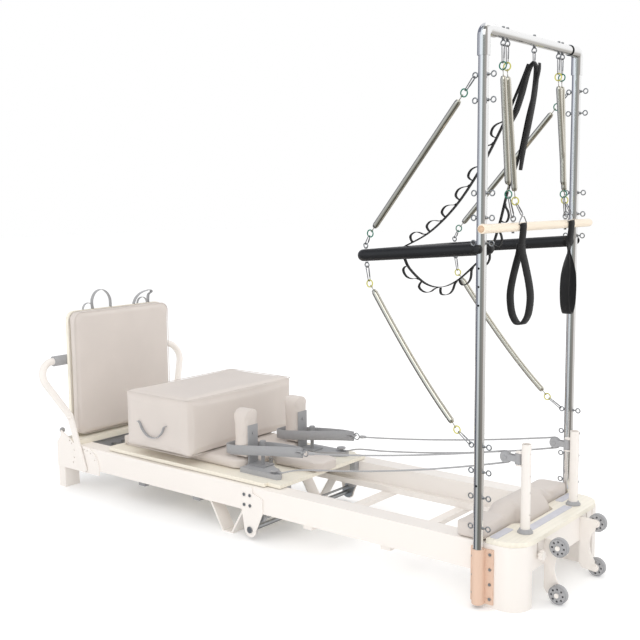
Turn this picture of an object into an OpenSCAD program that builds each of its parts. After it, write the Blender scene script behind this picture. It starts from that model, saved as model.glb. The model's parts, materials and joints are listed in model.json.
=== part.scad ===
// Folding pilates reformer with a half-trapeze tower.
// X runs from the footbar end (-X) to the tower end (+X), Y across, Z up. The origin is on the
// floor in the middle of the plan. "left" is the -Y side, as someone lying head-to-tower has it.

/* [Frame] */
// Fold axis to the outer face of the foot posts
foot_len = 1311; // [1290:1:1400]
// Fold axis to the end face of the standing platform
head_len = 1255; // [1230:1:1300]
// Width over the outer rail faces
frame_w = 680; // [670:1:690]
// Floor to the top of the rails
rail_top = 231; // [228:1:236]
// Height of a rail
rail_h = 106; // [100:1:110]
// Width of a rail
rail_w = 85; // [80:1:88]
// How far the ledge that carries the wheels stands in from the rail
ledge_w = 27; // [24:1:30]
// Height of the ledge
ledge_h = 25; // [20:1:28]
// Wall of the rails, posts and columns
wall = 3; // [2:0.5:4]
// Size of a foot post along the frame
foot_post_t = 49; // [40:1:49]
// Top of the gussets over the foot posts
gusset_top = 290; // [280:1:291]
// Length of each bent middle leg along the frame
leg_l = 190; // [170:1:195]
// Width of each bent middle leg
leg_w = 68; // [50:1:70]
// Thickness of the middle legs
leg_t = 6; // [4:0.5:8]

/* [Fold hinge] */
// Height of the fold axis
fold_z = 45; // [42:1:48]
// Diameter of the fold axle
fold_axle_d = 20; // [16:0.5:24]
// Thickness of each hinge plate
hinge_t = 5; // [4:0.5:6]
// Fold axis to the head end of the foot hinge plate
hinge_reach = 71; // [60:1:80]
// Fold axis to the seam between the rails
seam = 15; // [12:1:20]

/* [Footbar] */
// Footbar axis from the fold axis
footbar_x = 216; // [211:1:221]
// Height of the footbar axis
footbar_z = 127; // [125:1:130]
// Lean of the arms towards the foot end
footbar_lean = 20.4; // [20:0.1:20.4]
// Footbar axis to the middle of the grip
footbar_len = 547; // [530:1:547]
// Length of each flat arm
footbar_arm = 272; // [255:1:280]
// Middle of the tube at its widest, from the middle plane
footbar_wide = 448; // [440:1:455]
// Diameter of the footbar tube
footbar_d = 34; // [28:1:36]
// Diameter of the footbar grip
footbar_grip_d = 50; // [44:1:50]
// Radius of the circle of locking holes
hole_circle = 92; // [88:1:94]

/* [Jump board] */
// Width of the jump board
jump_w = 618; // [560:1:640]
// Height of the top of the jump board
jump_top = 884; // [800:1:950]
// Thickness of its wooden panel
jump_wood = 18; // [12:1:22]
// Thickness of its pad
jump_pad = 51; // [30:1:52]
// Front face of the pad from the fold axis
jump_front = 129; // [127:1:131]

/* [Carriage] */
// Foot edge of the carriage board from the fold axis
carriage_foot = 950; // [940:1:960]
// Head edge of the carriage board from the fold axis
carriage_head = 130; // [128:1:140]
// Width of the carriage board
carriage_w = 636; // [600:1:640]
// Thickness of the carriage board
carriage_t = 16; // [12:1:20]
// Gap between the rails and the carriage board
carriage_gap = 3; // [2:0.5:5]
// Width of the carriage pad
pad_w = 484; // [440:1:510]
// Thickness of the carriage pad and headrest
pad_t = 46; // [40:1:50]
// Gap between the pad and the headrest
pad_gap = 15; // [13:1:18]
// Width of the headrest
headrest_w = 146; // [130:1:150]
// Diameter of the carriage wheels
wheel_d = 50; // [44:1:52]
// Foot-end wheels from the fold axis
wheel_foot = 850; // [800:1:860]
// Head-end wheels, footwards of the fold axis
wheel_head = 60; // [60:1:90]
// Diameter of the carriage springs
spring_d = 24; // [18:1:26]
// Spacing of the carriage springs
spring_pitch = 62; // [50:1:70]

/* [Shoulder rests] */
// Middle of each shoulder rest from the middle plane
rest_y = 170; // [165:1:172]
// Width of a shoulder rest
rest_w = 86; // [80:1:88]
// Thickness of a shoulder rest along the frame
rest_t = 78; // [60:1:80]
// Floor to the top of the shoulder rests
rest_top = 516; // [480:1:540]
// Thickness of the rest plates
rest_plate = 5; // [4:0.5:6]
// Top of the rest plates
rest_plate_top = 445; // [420:1:460]

/* [Sitting box] */
// Length of the sitting box, across the frame
box_len = 710; // [660:1:740]
// Width of the sitting box, along the frame
box_w = 421; // [380:1:430]
// Height of the sitting box
box_h = 260; // [230:1:280]
// Middle of the box, footwards of the fold axis
box_x = 564; // [560:1:570]
// Height of the handle's grommets on the sitting box
box_grommet = 125; // [100:1:150]

/* [Head end] */
// Length of a leg column along the frame
column_l = 188; // [180:1:195]
// Corner radius of a leg column
column_r = 72; // [60:1:76]
// Platform end face to the end of the columns
column_inset = 5; // [4:1:8]
// Thickness of the standing platform
platform_t = 17; // [14:1:20]
// Length of the standing platform along the frame
platform_l = 142; // [138:1:146]
// Corner radius of the standing platform
platform_r = 92; // [80:1:95]
// Half width of the notch in the platform's inner edge
notch_w = 145; // [140:1:150]
// Depth of the notch in the platform's inner edge
notch_d = 44; // [40:1:46]
// Height of the cushion's lobes above the rails
cushion_h = 58; // [50:1:62]
// Riser posts from the platform's end face
riser_inset = 62; // [60:1:64]
// Riser posts from the middle plane
riser_y = 200; // [197:1:203]
// Diameter of the riser posts
riser_d = 34; // [30:1:35]
// Floor to the top of the risers
riser_top = 554; // [530:1:600]
// Height of the rope pulleys
pulley_z = 497; // [490:1:505]
// Height setting of the left riser and its pulley
left_raise = 14; // [0:1:20]
// Height setting of the right riser and its pulley
right_raise = -17; // [-24:1:20]
// Diameter of a pulley sheave
sheave_d = 42; // [40:1:46]
// Pulley axis from the riser axis
pulley_reach = 79; // [74:1:82]
// Diameter of the pull ropes
rope_d = 7; // [5:0.5:8]

/* [Transport wheels] */
// Diameter of a transport wheel
transport_d = 68; // [60:1:70]
// Width of a transport wheel
transport_w = 24; // [20:1:24]
// Wheel axes from the platform's end face
transport_reach = 53; // [50:1:56]
// Wheels from the middle plane
transport_y = 166; // [162:1:170]
// Height of the lower wheel axes
transport_low = 36; // [36:0.5:40]
// Height of the upper wheel axes
transport_high = 208; // [200:1:212]

/* [Tower] */
// Tower posts from the platform's end face
tower_inset = 160; // [156:1:162]
// Posts from the middle plane
tower_y = 360; // [360:0.5:364]
// Height of the top bar's axis
tower_h = 1972; // [1950:1:2100]
// Diameter of the tower tubes
tower_d = 35; // [32:0.5:35]
// Underside of the posts
tower_foot = 24; // [20:1:40]
// Height of the clamps on the leg columns
clamp_h = 198; // [180:1:200]
// Length of a clamp along the frame
clamp_l = 88; // [84:1:90]
// Wire of the eyebolts
eye_wire = 5; // [4:0.5:6]
// Outside diameter of the eyes
eye_d = 22; // [20:1:24]

/* [Push-through bar] */
// Height of the bar's pivots
ptb_z = 1254; // [1245:1:1262]
// Pivots to the middle of the grip
ptb_len = 534; // [500:1:550]
// Droop of the bar at rest
ptb_droop = 4.2; // [0:0.1:6]
// Diameter of the padded bar
ptb_d = 44; // [36:1:45]
// Middle of each arm from the middle plane
ptb_y = 317; // [312:0.5:318]
// Corner radius of the bar
ptb_r = 45; // [40:1:60]

/* [Roll-down bar] */
// Height of the roll-down bar
roll_z = 1323; // [1315:1:1330]
// Length of the roll-down bar
roll_len = 882; // [800:1:920]
// Diameter of the roll-down bar
roll_d = 32; // [28:1:34]
// Hand loops from the middle plane
loop_y = 190; // [185:1:195]
// Drop of the hand loops below the bar
loop_drop = 338; // [300:1:350]
// Width of a hand loop at its widest
loop_w = 96; // [80:1:110]
// Width of the webbing
webbing_w = 32; // [24:1:36]

/* [Hidden] */
$fn = 48;
far = 4000;          // longer than anything it cuts
clear = 0.3;         // gap between pieces that move past each other
run = 0.05;          // radial clearance of a running fit
joint_gap = 0.1;     // seam between two profiles bolted side by side
bolt_r = 4;
post_holes = [441, 1065, 1128, 1190];
stem_d = 4;
link_d = 3.5;
link_seat = 5.2;     // from the wire that a link hangs on to the far side of its own

// Heights of the eyebolts on the posts, and places of those along the top bar
eyebolt_z = [290, 398, 489, 579, 1274, 1358, 1440, tower_h - 229, tower_h - 147];
top_eye_y = [199, 229];

wheel_end = transport_reach + transport_d / 2;
x_foot = -(foot_len + head_len + wheel_end) / 2;
x_fold = x_foot + foot_len;
x_head = x_fold + head_len;
x_column = x_head - column_inset;
x_beam = x_column - 5;
x_rail_end = x_column - column_l;
x_tower = x_head - tower_inset;
x_riser = x_head - riser_inset;
x_pulley = x_riser - pulley_reach;
x_footbar = x_foot + footbar_x;
x_wheels = x_head + transport_reach;
post_in = x_foot + foot_post_t;
side = frame_w / 2;
rail_z = rail_top - rail_h;
rail_in = side - rail_w;
ledge_in = rail_in - ledge_w;
ledge_top = rail_z + ledge_h;
board_z = rail_top + carriage_gap;
board_top = board_z + carriage_t;
pad_top = board_top + pad_t;
pad_head = x_fold - carriage_head - pad_gap;
headrest_x = pad_head + pad_gap;
wheel_z = ledge_top + wheel_d / 2 + clear;
wheel_y = rail_in - 15;
platform_top = rail_top + platform_t;
plank_top = 256;
jump_x = x_foot + jump_front;
spring_x = x_foot + 148;
spring_z = 192;
rest_x = pad_head + rest_plate;
bracket_top = board_top + 22;
cushion_x = x_tower - 113;
cushion_r = 86;
cushion_z = rail_top + 1;
swivel_x = x_riser - 31;
top_eye_z = tower_h - tower_d / 2 - 14;
strap_top = tower_h - 76;
bar_x = x_tower + (tower_d + roll_d) / 2 + clear;
ring_z = tower_h - 106;
elbow_r = tower_d / 2 + 5;
ring_r = 14;
ring_wire = 4;
riser_knob_z = 180;
knob_x = x_head + 1;
bar_eye_z = roll_z + roll_d / 2 + 13;
bar_eye_y = [200, 216];

// Colours
cream = "#f3ece6";
maple = "#eeebdc";
vinyl = "#ded6d0";
grey = "#a9a9ab";
black = "#1d1d20";
steel = "#d2d3d6";
tan_paint = "#deba92";

// ---------- helpers ----------
function unit(v) = v / norm(v);
function tangent(p, i) = unit(p[min(i + 1, len(p) - 1)] - p[max(i - 1, 0)]);
function section(p, i, shape, up) =
  let (t = tangent(p, i), n = unit(cross(t, up)), b = cross(n, t))
  [for (s = shape) p[i] + n * s[0] + b * s[1]];
function round_section(d, n = 8) = [for (i = [0:n - 1]) [cos(i * 360 / n), sin(i * 360 / n)] * d / 2];
function flat_section(t, w) = [[-t / 2, -w / 2], [t / 2, -w / 2], [t / 2, w / 2], [-t / 2, w / 2]];
// A smooth curve through hand-chosen points, n steps between each two
function between(a, b, c, d, t) =
  ((2 * b) + (c - a) * t + (2 * a - 5 * b + 4 * c - d) * t * t + (3 * b - a - 3 * c + d) * t * t * t) / 2;
function smooth(p, n) = concat(
  [for (i = [0:len(p) - 2], k = [0:n - 1])
    between(p[max(i - 1, 0)], p[i], p[i + 1], p[min(i + 2, len(p) - 1)], k / n)],
  [p[len(p) - 1]]);

// A cord or webbing: a shape carried along points
module sweep(p, shape, up) {
  k = len(shape);
  n = len(p);
  polyhedron(
    points = [for (i = [0:n - 1]) each section(p, i, shape, up)],
    faces = concat(
      [[for (j = [k - 1:-1:0]) j]],
      [for (i = [0:n - 2], j = [0:k - 1])
        [i * k + j, i * k + (j + 1) % k, (i + 1) * k + (j + 1) % k, (i + 1) * k + j]],
      [[for (j = [0:k - 1]) (n - 1) * k + j]]));
}

module both() {
  children();
  mirror([0, 1, 0]) children();
}

module block(x0, x1, y0, y1, z0, z1) {
  translate([x0, y0, z0]) cube([x1 - x0, y1 - y0, z1 - z0]);
}

module rod_y(x, z, y0, y1, d) {
  translate([x, y0, z]) rotate([-90, 0, 0]) cylinder(d = d, h = y1 - y0);
}

module rod_x(y, z, x0, x1, d) {
  translate([x0, y, z]) rotate([0, 90, 0]) cylinder(d = d, h = x1 - x0);
}

// A rod from one point to another
module rod(a, b, d) {
  v = b - a;
  translate(a) rotate([0, acos(v[2] / norm(v)), atan2(v[1], v[0])]) cylinder(d = d, h = norm(v));
}

// A shape drawn in X and Z, between two values of Y
module plate_xz(y0, y1) {
  translate([0, y1, 0]) rotate([90, 0, 0]) linear_extrude(y1 - y0) children();
}

// A rectangle with rounded corners
module rounded(w, h, r) {
  square([w - 2 * r, h], center = true);
  square([w, h - 2 * r], center = true);
  for (i = [-1, 1], j = [-1, 1]) translate([i * (w / 2 - r), j * (h / 2 - r)]) circle(r);
}

module ring(p, r, d, turn) {
  translate(p) rotate(turn) difference() {
    cylinder(r = r + d / 2, h = d, center = true, $fn = 32);
    cylinder(r = r - d / 2, h = d + 1, center = true, $fn = 32);
  }
}

module eye(x, y, z, turn = 0) {
  ring([x, y, z], (eye_d - eye_wire) / 2, eye_wire, [90, 0, turn]);
}

module stadium(l, w) {
  translate([-w / 2, w / 2]) square([w, l - w]);
  for (z = [w / 2, l - w / 2]) translate([0, z]) circle(d = w, $fn = 32);
}

// A snap hook as a closed link from a to b
module link(a, b, w, d) {
  v = b - a;
  l = norm(v);
  translate(a) rotate([0, acos(v[2] / l), atan2(v[1], v[0])]) rotate([90, 0, 90])
    linear_extrude(d, center = true) difference() {
      stadium(l, w);
      translate([0, d]) stadium(l - 2 * d, w - 2 * d);
    }
}

// ---------- frame, foot half ----------
module rail(x0, x1) {
  difference() {
    block(x0, x1, rail_in, side, rail_z, rail_top);
    block(x0 - 1, x1 + 1, rail_in + wall, side - wall, rail_z + wall, rail_top - wall);
  }
  difference() {
    block(x0, x1, ledge_in, rail_in - joint_gap, rail_z, ledge_top);
    block(x0 - 1, x1 + 1, ledge_in + wall, rail_in - wall, rail_z + wall, ledge_top - wall);
  }
}

module foot_rail() {
  difference() {
    rail(post_in, x_fold + seam - clear);
    rod_y(x_footbar, footbar_z, rail_in - 60, side + 1, 28);
  }
}
module foot_rails() { color(cream) both() foot_rail(); }

module foot_posts() {
  color(cream) both() difference() {
    block(x_foot, post_in, rail_in, side, 0, rail_top);
    block(x_foot + wall, post_in - wall, rail_in + wall, side - wall, -1, rail_top - wall);
    translate([x_foot + 14, 322, rail_top - 10]) cylinder(d = 12, h = 20);
  }
}

module foot_cross_members() {
  color(black) {
    block(x_foot + 4, post_in - 9, -rail_in, rail_in, rail_z + 6, rail_top - 6);
    block(spring_x - 12, spring_x, -rail_in, rail_in, ledge_top + 14, ledge_top + 66);
    for (x = [x_fold - 340, x_fold - 700]) block(x - 22, x + 22, -side + 12, side - 12, rail_z - 20, rail_z);
  }
}

module foot_platform() {
  color(maple) difference() {
    block(post_in, x_foot + 161, -side + 3, side - 3, rail_top, plank_top);
    both() block(jump_x - jump_wood - jump_pad - 0.4, jump_x - jump_pad + 0.4, 179.6, 240.4, rail_top - 1, plank_top + 1);
  }
}

module carriage_springs() {
  color(grey) for (i = [-2:2])
    rod_x(i * spring_pitch, spring_z, spring_x, x_fold - wheel_foot - 20, spring_d);
}

module middle_legs() {
  x1 = x_fold - 52;
  x0 = x1 - leg_l;
  color(grey) both() plate_xz(297.5 - leg_w / 2, 297.5 + leg_w / 2) {
    polygon([
      [x0 - 34, rail_z], [x0 - 34, rail_z - leg_t], [x0 - leg_t, rail_z - leg_t],
      [x0 + 66, 0], [x1 - 66, 0], [x1 + leg_t, rail_z - leg_t], [x1 + 26, rail_z - leg_t],
      [x1 + 26, rail_z], [x1, rail_z], [x1 - 66 - leg_t, leg_t], [x0 + 66 + leg_t, leg_t], [x0, rail_z]]);
  }
}

module foot_hinge_outline() {
  translate([x_fold, fold_z]) circle(32);
  polygon([
    [x_fold - 32, fold_z], [x_fold + 32, fold_z], [x_fold + hinge_reach, rail_z + 2],
    [x_fold + hinge_reach, rail_top - 42], [x_fold + 40, rail_top - 33],
    [x_fold + seam, rail_top - 24], [x_fold + seam, rail_top - 1], [x_fold - 47, rail_top - 1],
    [x_fold - 47, rail_z]]);
}

module foot_hinge_plates() {
  color(cream) both() difference() {
    plate_xz(side, side + hinge_t) foot_hinge_outline();
    block(x_fold + seam - clear, far, 0, side + clear, rail_z - 10, far);
    rod_y(x_fold, fold_z, 0, far, fold_axle_d);
  }
}

module fold_axle() {
  color(steel) {
    rod_y(x_fold, fold_z, -side - hinge_t, side + hinge_t, fold_axle_d);
    both() {
      rod_y(x_fold, fold_z, side + hinge_t, side + hinge_t + 5, 28);
      for (p = [[-31, 194], [-31, 150], [2, 194], [2, 150]])
        rod_y(x_fold + p[0], p[1], side + hinge_t, side + hinge_t + 3, 14);
    }
  }
}

module footbar_plates() {
  color(cream) both() difference() {
    plate_xz(side, side + 6) translate([x_footbar, footbar_z]) difference() {
      union() {
        intersection() {
          circle(108, $fn = 96);
          polygon([[0, -22], [120, -22], [200, 20], [200, 200], [0, 200]]);
        }
        polygon([[0, -22], [-x_footbar + x_foot, -22], [-x_footbar + x_foot, 100],
          [-184, 140], [-184, gusset_top - footbar_z], [-134, 141], [-75, 108], [0, 108]]);
      }
      difference() {
        circle(78);
        circle(34);
        for (a = [72, 252]) rotate(a) translate([-100, 0]) square([200, 200]);
        rotate(18) translate([-100, -200]) square([200, 200]);
      }
      for (a = [34, 60, 77, 91, 154, 171]) rotate(a) translate([hole_circle, 0]) circle(bolt_r);
      for (p = [[-81, 77], [-98, 110], [-114, 120]]) translate(p) circle(bolt_r);
    }
    rod_y(x_footbar, footbar_z, 0, far, 22 + 2 * run);
  }
}

module pull_knob() {
  color(black) translate([x_foot + 14, -322, 0]) {
    translate([0, 0, rail_top - wall - 20]) cylinder(d = 12 - 2 * run, h = 40);
    translate([0, 0, rail_top]) cylinder(d = 10, h = 45);
    translate([0, 0, 284]) sphere(d = 27);
  }
}

// ---------- frame, head half ----------
module head_rail() {
  difference() {
    rail(x_fold + seam, x_rail_end);
    block(x_fold + seam - 1, x_fold + hinge_reach + 1, side - wall - 7, side - wall, rail_z - 1, rail_z + wall + 1);
  }
}
module head_rails() { color(cream) both() head_rail(); }

module column_2d(g) {
  x0 = x_rail_end + g;
  x1 = x_column - g;
  y0 = rail_in + g;
  y1 = side - g;
  r = column_r - g;
  difference() {
    translate([x0, y0]) square([x1 - x0, y1 - y0]);
    translate([x1 - r, y1 - r]) difference() {
      square(r + 1);
      circle(r, $fn = 96);
    }
  }
}

module head_columns() {
  color(cream) both() difference() {
    linear_extrude(rail_top) column_2d(0);
    translate([0, 0, -1]) linear_extrude(rail_top - wall + 1) column_2d(wall);
  }
}

module head_hinge_plates() {
  y1 = side - wall;
  y0 = y1 - 6;
  color(grey) {
    both() difference() {
      plate_xz(y0, y1) {
        translate([x_fold, fold_z]) circle(28);
        polygon([[x_fold - 20, fold_z + 19], [x_fold + 28, fold_z], [x_fold + hinge_reach - 1, rail_z],
          [x_fold + hinge_reach - 1, rail_top - wall], [x_fold + seam, rail_top - wall],
          [x_fold + seam, rail_z - 3]]);
      }
      rod_y(x_fold, fold_z, 0, far, fold_axle_d + 2 * run);
    }
    rod_y(x_fold + 16, fold_z + 34, joint_gap - y0, y0 - joint_gap, 10);
  }
}

module fold_knobs() {
  y = side - wall - 6;
  color(black) both() {
    rod_y(x_fold + 40, 100, y - 24, y - 6, 44);
    rod_y(x_fold + 40, 100, y - 6, y, 22);
  }
}

module head_end_beam() {
  color(cream) {
    difference() {
      block(x_beam - 12, x_beam, -rail_in, rail_in, rail_z + 6, rail_top);
      both() block(x_beam - 20, x_beam + 1, riser_y + 2, riser_y + 10, 176, 226);
    }
    for (x = [x_fold + 300, x_fold + 680]) block(x - 22, x + 22, -side + 12, side - 12, rail_z - 20, rail_z);
    block(x_tower - 60, x_tower - 20, -rail_in, rail_in, rail_top - 40, rail_top);
  }
}

module platform_2d() {
  y = side - 3;
  r = platform_r;
  difference() {
    translate([x_head - platform_l, -y]) square([platform_l, 2 * y]);
    polygon([[x_head - platform_l - 1, -notch_w], [x_head - platform_l + notch_d, -notch_w + notch_d],
      [x_head - platform_l + notch_d, notch_w - notch_d], [x_head - platform_l - 1, notch_w]]);
    for (s = [-1, 1]) translate([x_head - r, s * (y - r)]) difference() {
      translate([0, s > 0 ? 0 : -r - 1]) square(r + 1);
      circle(r, $fn = 96);
    }
  }
}

module standing_platform() {
  color(maple) difference() {
    translate([0, 0, rail_top]) linear_extrude(platform_t) platform_2d();
    both() translate([x_riser, riser_y, 0]) cylinder(d = riser_d + 3, h = far);
  }
}

module grip_strips() {
  color(grey) {
    translate([x_head - 66, 0, platform_top]) linear_extrude(1.5) rounded(34, 330, 6);
    both() translate([x_head - platform_l + 20, 260, platform_top]) linear_extrude(1.5) rounded(32, 124, 8);
  }
}

module platform_cushion() {
  wing = x_head - platform_l - clear - cushion_x;
  hump = 2 * cushion_r;
  crest = cushion_x + cushion_r;
  z0 = rail_top + clear;
  color(vinyl) difference() {
    union() {
      both() translate([cushion_x + wing / 2, 260, z0]) linear_extrude(cushion_h) rounded(wing, 160, 30);
      rod_y(crest, cushion_z, -105, 105, hump);
      both() translate([crest, 105, cushion_z]) rotate([-90, 0, 0]) cylinder(d1 = hump, d2 = hump - 64, h = 95);
    }
    block(-far, far, -far, far, -far, z0);
    block(x_head - platform_l - clear, far, notch_w - notch_d - clear, far, 0, far);
    block(x_head - platform_l - clear, far, -far, notch_d - notch_w + clear, 0, far);
    block(x_head - platform_l + notch_d - clear, far, -far, far, 0, far);
  }
}

module riser_collars() {
  color(black) both() translate([x_riser, riser_y, platform_top]) difference() {
    union() {
      cylinder(d = 56, h = 4);
      translate([0, 0, 4]) cylinder(d1 = 54, d2 = 42, h = 10);
    }
    translate([0, 0, -1]) cylinder(d = riser_d + 2 * run, h = 20);
  }
}

module riser(lift) {
  pulley = pulley_z + lift;
  color(cream) {
    difference() {
      translate([x_riser, riser_y, 160 + lift]) cylinder(d = riser_d, h = riser_top - 160);
      translate([x_riser, riser_y, 159 + lift]) cylinder(d = riser_d - 5, h = riser_top);
      for (z = [300, 380, 440, 520]) rod_x(riser_y, z + lift, x_riser, x_riser + 30, 6);
    }
    for (z = [pulley - 26, pulley + 20]) {
      block(swivel_x, x_riser - riser_d / 2 + 1, riser_y - 9, riser_y + 9, z, z + 6);
      translate([swivel_x, riser_y, z]) cylinder(d = 18, h = 6);
    }
    translate([swivel_x, riser_y, pulley - 26]) cylinder(d = 8, h = 52);
  }
  color(black) {
    rod_x(riser_y + 6, riser_knob_z, x_riser + 14, knob_x, 7);
    translate([knob_x - 3, riser_y + 6, riser_knob_z]) rotate([0, 90, 0]) cylinder(d = 22, h = 3);
    translate([knob_x, riser_y + 6, riser_knob_z]) rotate([0, 90, 0]) {
      cylinder(d = 28, h = 14);
      for (a = [0:60:359]) rotate(a) translate([14, 0, 0]) cylinder(d = 11, h = 14);
    }
  }
}
module left_riser() { mirror([0, 1, 0]) riser(left_raise); }
module right_riser() { riser(right_raise); }

module pulley_block(lift) {
  y0 = 8.5;
  z0 = pulley_z + lift;
  cheek = sheave_d - 4;
  color(grey) translate([0, riser_y, 0]) {
    difference() {
      union() {
        translate([swivel_x, 0, z0 - 19]) cylinder(d = 25, h = 38);
        for (s = [-1, 1]) plate_xz(s * y0 - (s < 0 ? 3 : 0), s * y0 + (s > 0 ? 3 : 0)) {
          translate([x_pulley, z0]) circle(d = cheek);
          translate([x_pulley, z0 - 11]) square([swivel_x - x_pulley, 22]);
        }
      }
      translate([swivel_x, 0, z0 - 30]) cylinder(r = 4 + run, h = 60);
    }
    rod_y(x_pulley, z0, -y0 - 3, y0 + 3, 8);
    for (s = [-1, 1]) rod_y(x_pulley, z0, s > 0 ? y0 + 3 : -y0 - 6, s > 0 ? y0 + 6 : -y0 - 3, 14);
  }
}
module left_pulley_block() { mirror([0, 1, 0]) pulley_block(left_raise); }
module right_pulley_block() { pulley_block(right_raise); }

module sheave(lift) {
  color(grey) translate([x_pulley, riser_y, pulley_z + lift]) rotate([90, 0, 0]) rotate_extrude(convexity = 4)
    difference() {
      translate([4 + run, -8]) square([sheave_d / 2 - 4 - run, 16]);
      translate([sheave_d / 2 - 1, 0]) circle(5.2, $fn = 32);
    }
}
module left_sheave() { mirror([0, 1, 0]) sheave(left_raise); }
module right_sheave() { sheave(right_raise); }

// ---------- transport wheels ----------
module transport_brackets() {
  y0 = transport_y - transport_w / 2 - 7;
  y1 = transport_y + transport_w / 2 + 1;
  middle = (transport_high + transport_low) / 2;
  waist = transport_high - transport_low - 80;
  color(cream) both() plate_xz(y0, y0 + 6) difference() {
    union() {
      polygon([[x_beam, 42], [x_beam, rail_top - 8], [x_beam + 34, rail_top - 8], [x_wheels, transport_high + 15],
        [x_wheels, transport_low - 15], [x_beam + 34, transport_low - 12], [x_beam + 12, 26]]);
      for (z = [transport_low, transport_high]) translate([x_wheels, z]) circle(15);
    }
    translate([x_wheels - 24 + waist, middle]) circle(waist, $fn = 96);
  }
  color(steel) both() for (z = [transport_low, transport_high]) {
    rod_y(x_wheels, z, y0 + 6, y1, 10);
    rod_y(x_wheels, z, y1, y1 + 5, 17);
    rod_y(x_wheels, z, y0 - 4, y0, 17);
  }
}

module transport_wheels(z) {
  color(grey) both() translate([x_wheels, transport_y, z]) rotate([90, 0, 0]) difference() {
    union() {
      cylinder(d = transport_d - 6, h = transport_w, center = true, $fn = 96);
      cylinder(d = transport_d, h = transport_w - 6, center = true, $fn = 96);
    }
    cylinder(r = 5 + run, h = far, center = true);
    for (a = [0:45:359]) rotate(a) translate([22, 0, 0]) cylinder(d = 8, h = far, center = true);
  }
}
module upper_transport_wheels() { transport_wheels(transport_high); }
module lower_transport_wheels() { transport_wheels(transport_low); }

// ---------- tower ----------
module tower_clamps() {
  color(tan_paint) both() translate([x_tower, 0, 15]) linear_extrude(clamp_h) difference() {
    union() {
      translate([-clamp_l / 2 + 8, side]) square([clamp_l, 7]);
      translate([0, tower_y]) circle(d = tower_d + 7);
      translate([-tower_d / 2 - 3.5, side]) square([tower_d + 7, tower_y - side]);
    }
    translate([0, tower_y]) circle(d = tower_d);
    translate([-far, -far + side]) square([2 * far, far]);
  }
}

module clamp_bolts() {
  color(steel) both() {
    for (z = [45, 110, 178]) rod_y(x_tower - 28, z, side + 7, side + 10, 9);
    for (z = [35, 88, 142, 196]) rod_y(x_tower + 40, z, side + 7, side + 10, 11);
  }
}

module tower_posts() {
  color(steel) both() translate([x_tower, tower_y, 0]) difference() {
    translate([0, 0, tower_foot]) cylinder(d = tower_d, h = tower_h - elbow_r - tower_foot);
    translate([0, 0, tower_foot - 1]) cylinder(d = tower_d - 5, h = far);
    for (z = post_holes) rod_y(0, z, 0, 40, 8);
    rotate([90, 0, 0]) translate([0, ptb_z, -40]) cylinder(d = 12 + 2 * run, h = 80);
  }
}

module tower_top_bar() {
  color(steel) difference() {
    rod_y(x_tower, tower_h, -tower_y + elbow_r, tower_y - elbow_r, tower_d);
    rod_y(x_tower, tower_h, -tower_y, tower_y, tower_d - 5);
  }
}

module tower_elbows() {
  d = tower_d + 8;
  color(steel) both() difference() {
    union() {
      translate([x_tower, tower_y, tower_h - 86]) cylinder(d = d, h = 86 - elbow_r);
      rod_y(x_tower, tower_h, tower_y - 70, tower_y - elbow_r, d);
      translate([x_tower, tower_y - elbow_r, tower_h - elbow_r]) rotate([90, 0, 90])
        rotate_extrude(angle = 90) translate([elbow_r, 0]) circle(d = d);
    }
    translate([x_tower, tower_y, 0]) cylinder(d = tower_d, h = tower_h - elbow_r);
    rod_y(x_tower, tower_h, 0, tower_y - elbow_r, tower_d);
  }
}

module eyebolts() {
  r = eye_d / 2;
  color(steel) {
    for (z = eyebolt_z) {
      eye(x_tower - 31, tower_y, z);
      rod_x(tower_y, z, x_tower - 31 + r - 3, x_tower - tower_d / 2, stem_d);
      eye(x_tower + 38, tower_y, z);
      rod_x(tower_y, z, x_tower + tower_d / 2, x_tower + 38 - r + 3, stem_d);
    }
    for (y = top_eye_y) top_eyebolt(y);
  }
}
module top_eyebolt(y) {
  eye(x_tower, y, top_eye_z);
  translate([x_tower, y, top_eye_z + eye_d / 2 - 3]) cylinder(d = stem_d, h = 17 - eye_d / 2);
  translate([x_tower, y, tower_h + tower_d / 2]) cylinder(d = 11, h = 6);
}
module left_eyebolts() {
  mirror([0, 1, 0]) eyebolts();
  color(steel) top_eyebolt(0);
}
module right_eyebolts() { eyebolts(); }

// ---------- push-through bar ----------
ptb_eye_x = -ptb_len + ptb_r;
ptb_eye = 36;
function ptb_at(x, z) = [x_tower + x * cos(ptb_droop) - z * sin(ptb_droop), ptb_y,
  ptb_z + x * sin(ptb_droop) + z * cos(ptb_droop)];
module ptb_frame() {
  translate([x_tower, 0, ptb_z]) rotate([0, -ptb_droop, 0]) children();
}

module push_through_bar() {
  color(black) ptb_frame() {
    both() {
      translate([ptb_eye_x, ptb_y, 0]) rotate([0, 90, 0]) cylinder(d = ptb_d, h = -ptb_eye_x);
      translate([ptb_eye_x, ptb_y - ptb_r, 0]) rotate([0, 0, 90]) rotate_extrude(angle = 90)
        translate([ptb_r, 0]) circle(d = ptb_d);
      translate([0, ptb_y, 0]) sphere(d = ptb_d);
      rod_y(0, 0, ptb_y, tower_y + 26, 12);
      rod_y(0, 0, tower_y + tower_d / 2 + 1, tower_y + tower_d / 2 + 16, 30);
      for (s = [-1, 1]) {
        eye(ptb_eye_x, ptb_y, s * ptb_eye);
        translate([ptb_eye_x, ptb_y, s * 24 - 4]) cylinder(d = stem_d, h = 8);
      }
    }
    rod_y(-ptb_len, 0, -ptb_y + ptb_r, ptb_y - ptb_r, ptb_d);
  }
}

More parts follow.
